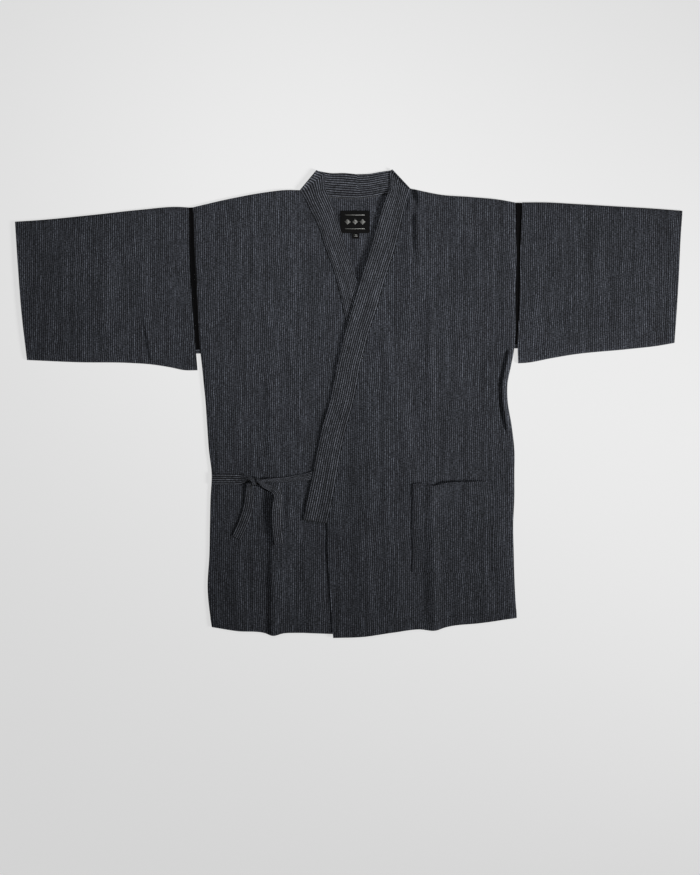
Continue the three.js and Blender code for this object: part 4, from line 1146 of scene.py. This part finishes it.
def stitch_line(points):
    """Stitches along points that lie on the cloth."""
    length = run_along(points)
    starts = np.arange(0.5, length[-1] - STITCH_LONG, STITCH_PITCH)
    stitches = points_at(points, length, starts[:, None] + np.array([0, 0.5, 1]) * STITCH_LONG)
    stitches[..., 2] += (-0.05, 0.1, -0.05)
    wide, high = (size * np.array([0.45, 1, 0.45]) for size in (STITCH_WIDE, STITCH_HIGH))
    return [tube(stitch, wide, high, 4) for stitch in stitches]


def sewing():
    def top_of_hem(x, y):
        return underside(side, x, y) + CAD_CLOTH / 2 + CLOTH / 2 + HEM_EXTRA

    def pocket_top(x, y):
        return underside("left", x, y) + LAYER + POCKET_LIFT + CLOTH / 2 - 0.1

    threads = []
    for side in SIGN:
        hem = curve(FRONT_HEM[side])(np.linspace(0.01, 0.985, 90)) + (0, HEM_TURN - 2.5)
        threads += stitch_line(laid(hem, top_of_hem))
        threads += stitch_line(CUFF_ROW[side] + (0, 0, CLOTH / 2 + HEM_EXTRA))
        for edge in COLLAR_ROWS[side]:
            threads += stitch_line(edge + (0, 0, BAND_THICK / 2 - 0.1))
    x0, x1 = POCKET_FOOT[0][0] + 1.6, POCKET_FOOT[1][0] - 1.6
    y = POCKET_FOOT[0][1] + 1.8
    round_pocket = [(x0, MOUTH_END), (x0, y), (x1, y - 1.5), (x1, MOUTH_END)]
    threads += stitch_line(laid(round_pocket, pocket_top))
    join_threads("stitching", threads, SEWING_THREAD)


sewing()


# The floor. A plain pale table, lit a little from within like a copy stand's, so that the
# jacket's shadow on it stays soft.

FLOOR_HALF = 4.0
FLOOR_DROP = 0.0002


def pale_floor():
    settings = {
        "Roughness": 0.9,
        "Specular IOR Level": 0.1,
        "Emission Color": (1.0, 1.0, 1.0, 1.0),
        "Emission Strength": 0.62,
    }
    material, tree, shader = new_material("pale floor", settings)
    colour = grey(tree, soft_step(tree, mottle(tree, 3.0, 2.0), 0.3, 0.7, 0.298, 0.302))
    tree.links.new(colour, shader.inputs["Base Color"])
    return material


floor_mesh = bpy.data.meshes.new("floor")
floor_corners = [
    (x * FLOOR_HALF, y * FLOOR_HALF, -FLOOR_DROP) for x, y in ((-1, -1), (1, -1), (1, 1), (-1, 1))
]
floor_mesh.from_pydata(floor_corners, [], [(0, 1, 2, 3)])
floor_mesh.materials.append(pale_floor())
floor = placed("floor", floor_mesh)


# The studio. A soft light low on the wearer's left rakes over the cloth, a small weak one hangs
# over the chest, and the camera looks straight down, as in the photo.

def soft_light(name, place, aim, size, power, beam):
    lamp = bpy.data.lights.new(name, "AREA")
    lamp.size = size
    lamp.energy = power
    lamp.spread = np.radians(beam)
    holder = placed(name, lamp)
    holder.location = place
    holder.rotation_euler = (Vector(aim) - Vector(place)).to_track_quat("-Z", "Y").to_euler()


soft_light("key", (3.0, -0.9, 1.3), (-0.06, 0.3, 0.0), 0.7, 9.3, 47)
soft_light("top light", (-0.2, 0.6, 1.3), (-0.08, 0.27, 0.0), 0.5, 1.0, 70)

world = bpy.data.worlds.new("studio")
world.use_nodes = True
sky = world.node_tree.nodes["Background"].inputs
sky["Color"].default_value = (1.0, 1.0, 1.0, 1.0)
sky["Strength"].default_value = 0.03
bpy.context.scene.world = world
bpy.context.scene.view_settings.view_transform = "Standard"

# The picture is 700 x 875 pixels of 1.75 mm on the table. The jacket's own zero is at
# the pixel 357, 403.5.
PIXEL = 1.75
PICTURE_SIZE = (700, 875)
ZERO_PIXEL = (357, 403.5)
CAMERA_HEIGHT = 3.0
SENSOR = 36.0
PICTURE_CENTRE = (
    (PICTURE_SIZE[0] / 2 - ZERO_PIXEL[0]) * PIXEL + CENTRE_X,
    (ZERO_PIXEL[1] - PICTURE_SIZE[1] / 2) * PIXEL + CENTRE_Y,
)
lens = bpy.data.cameras.new("camera")
lens.sensor_width = SENSOR
lens.lens = SENSOR * CAMERA_HEIGHT / (PICTURE_SIZE[1] * PIXEL * MM)
lens.clip_end = 50.0
camera = placed("camera", lens)
camera.location = (PICTURE_CENTRE[0] * MM, PICTURE_CENTRE[1] * MM, CAMERA_HEIGHT)
bpy.context.scene.camera = camera
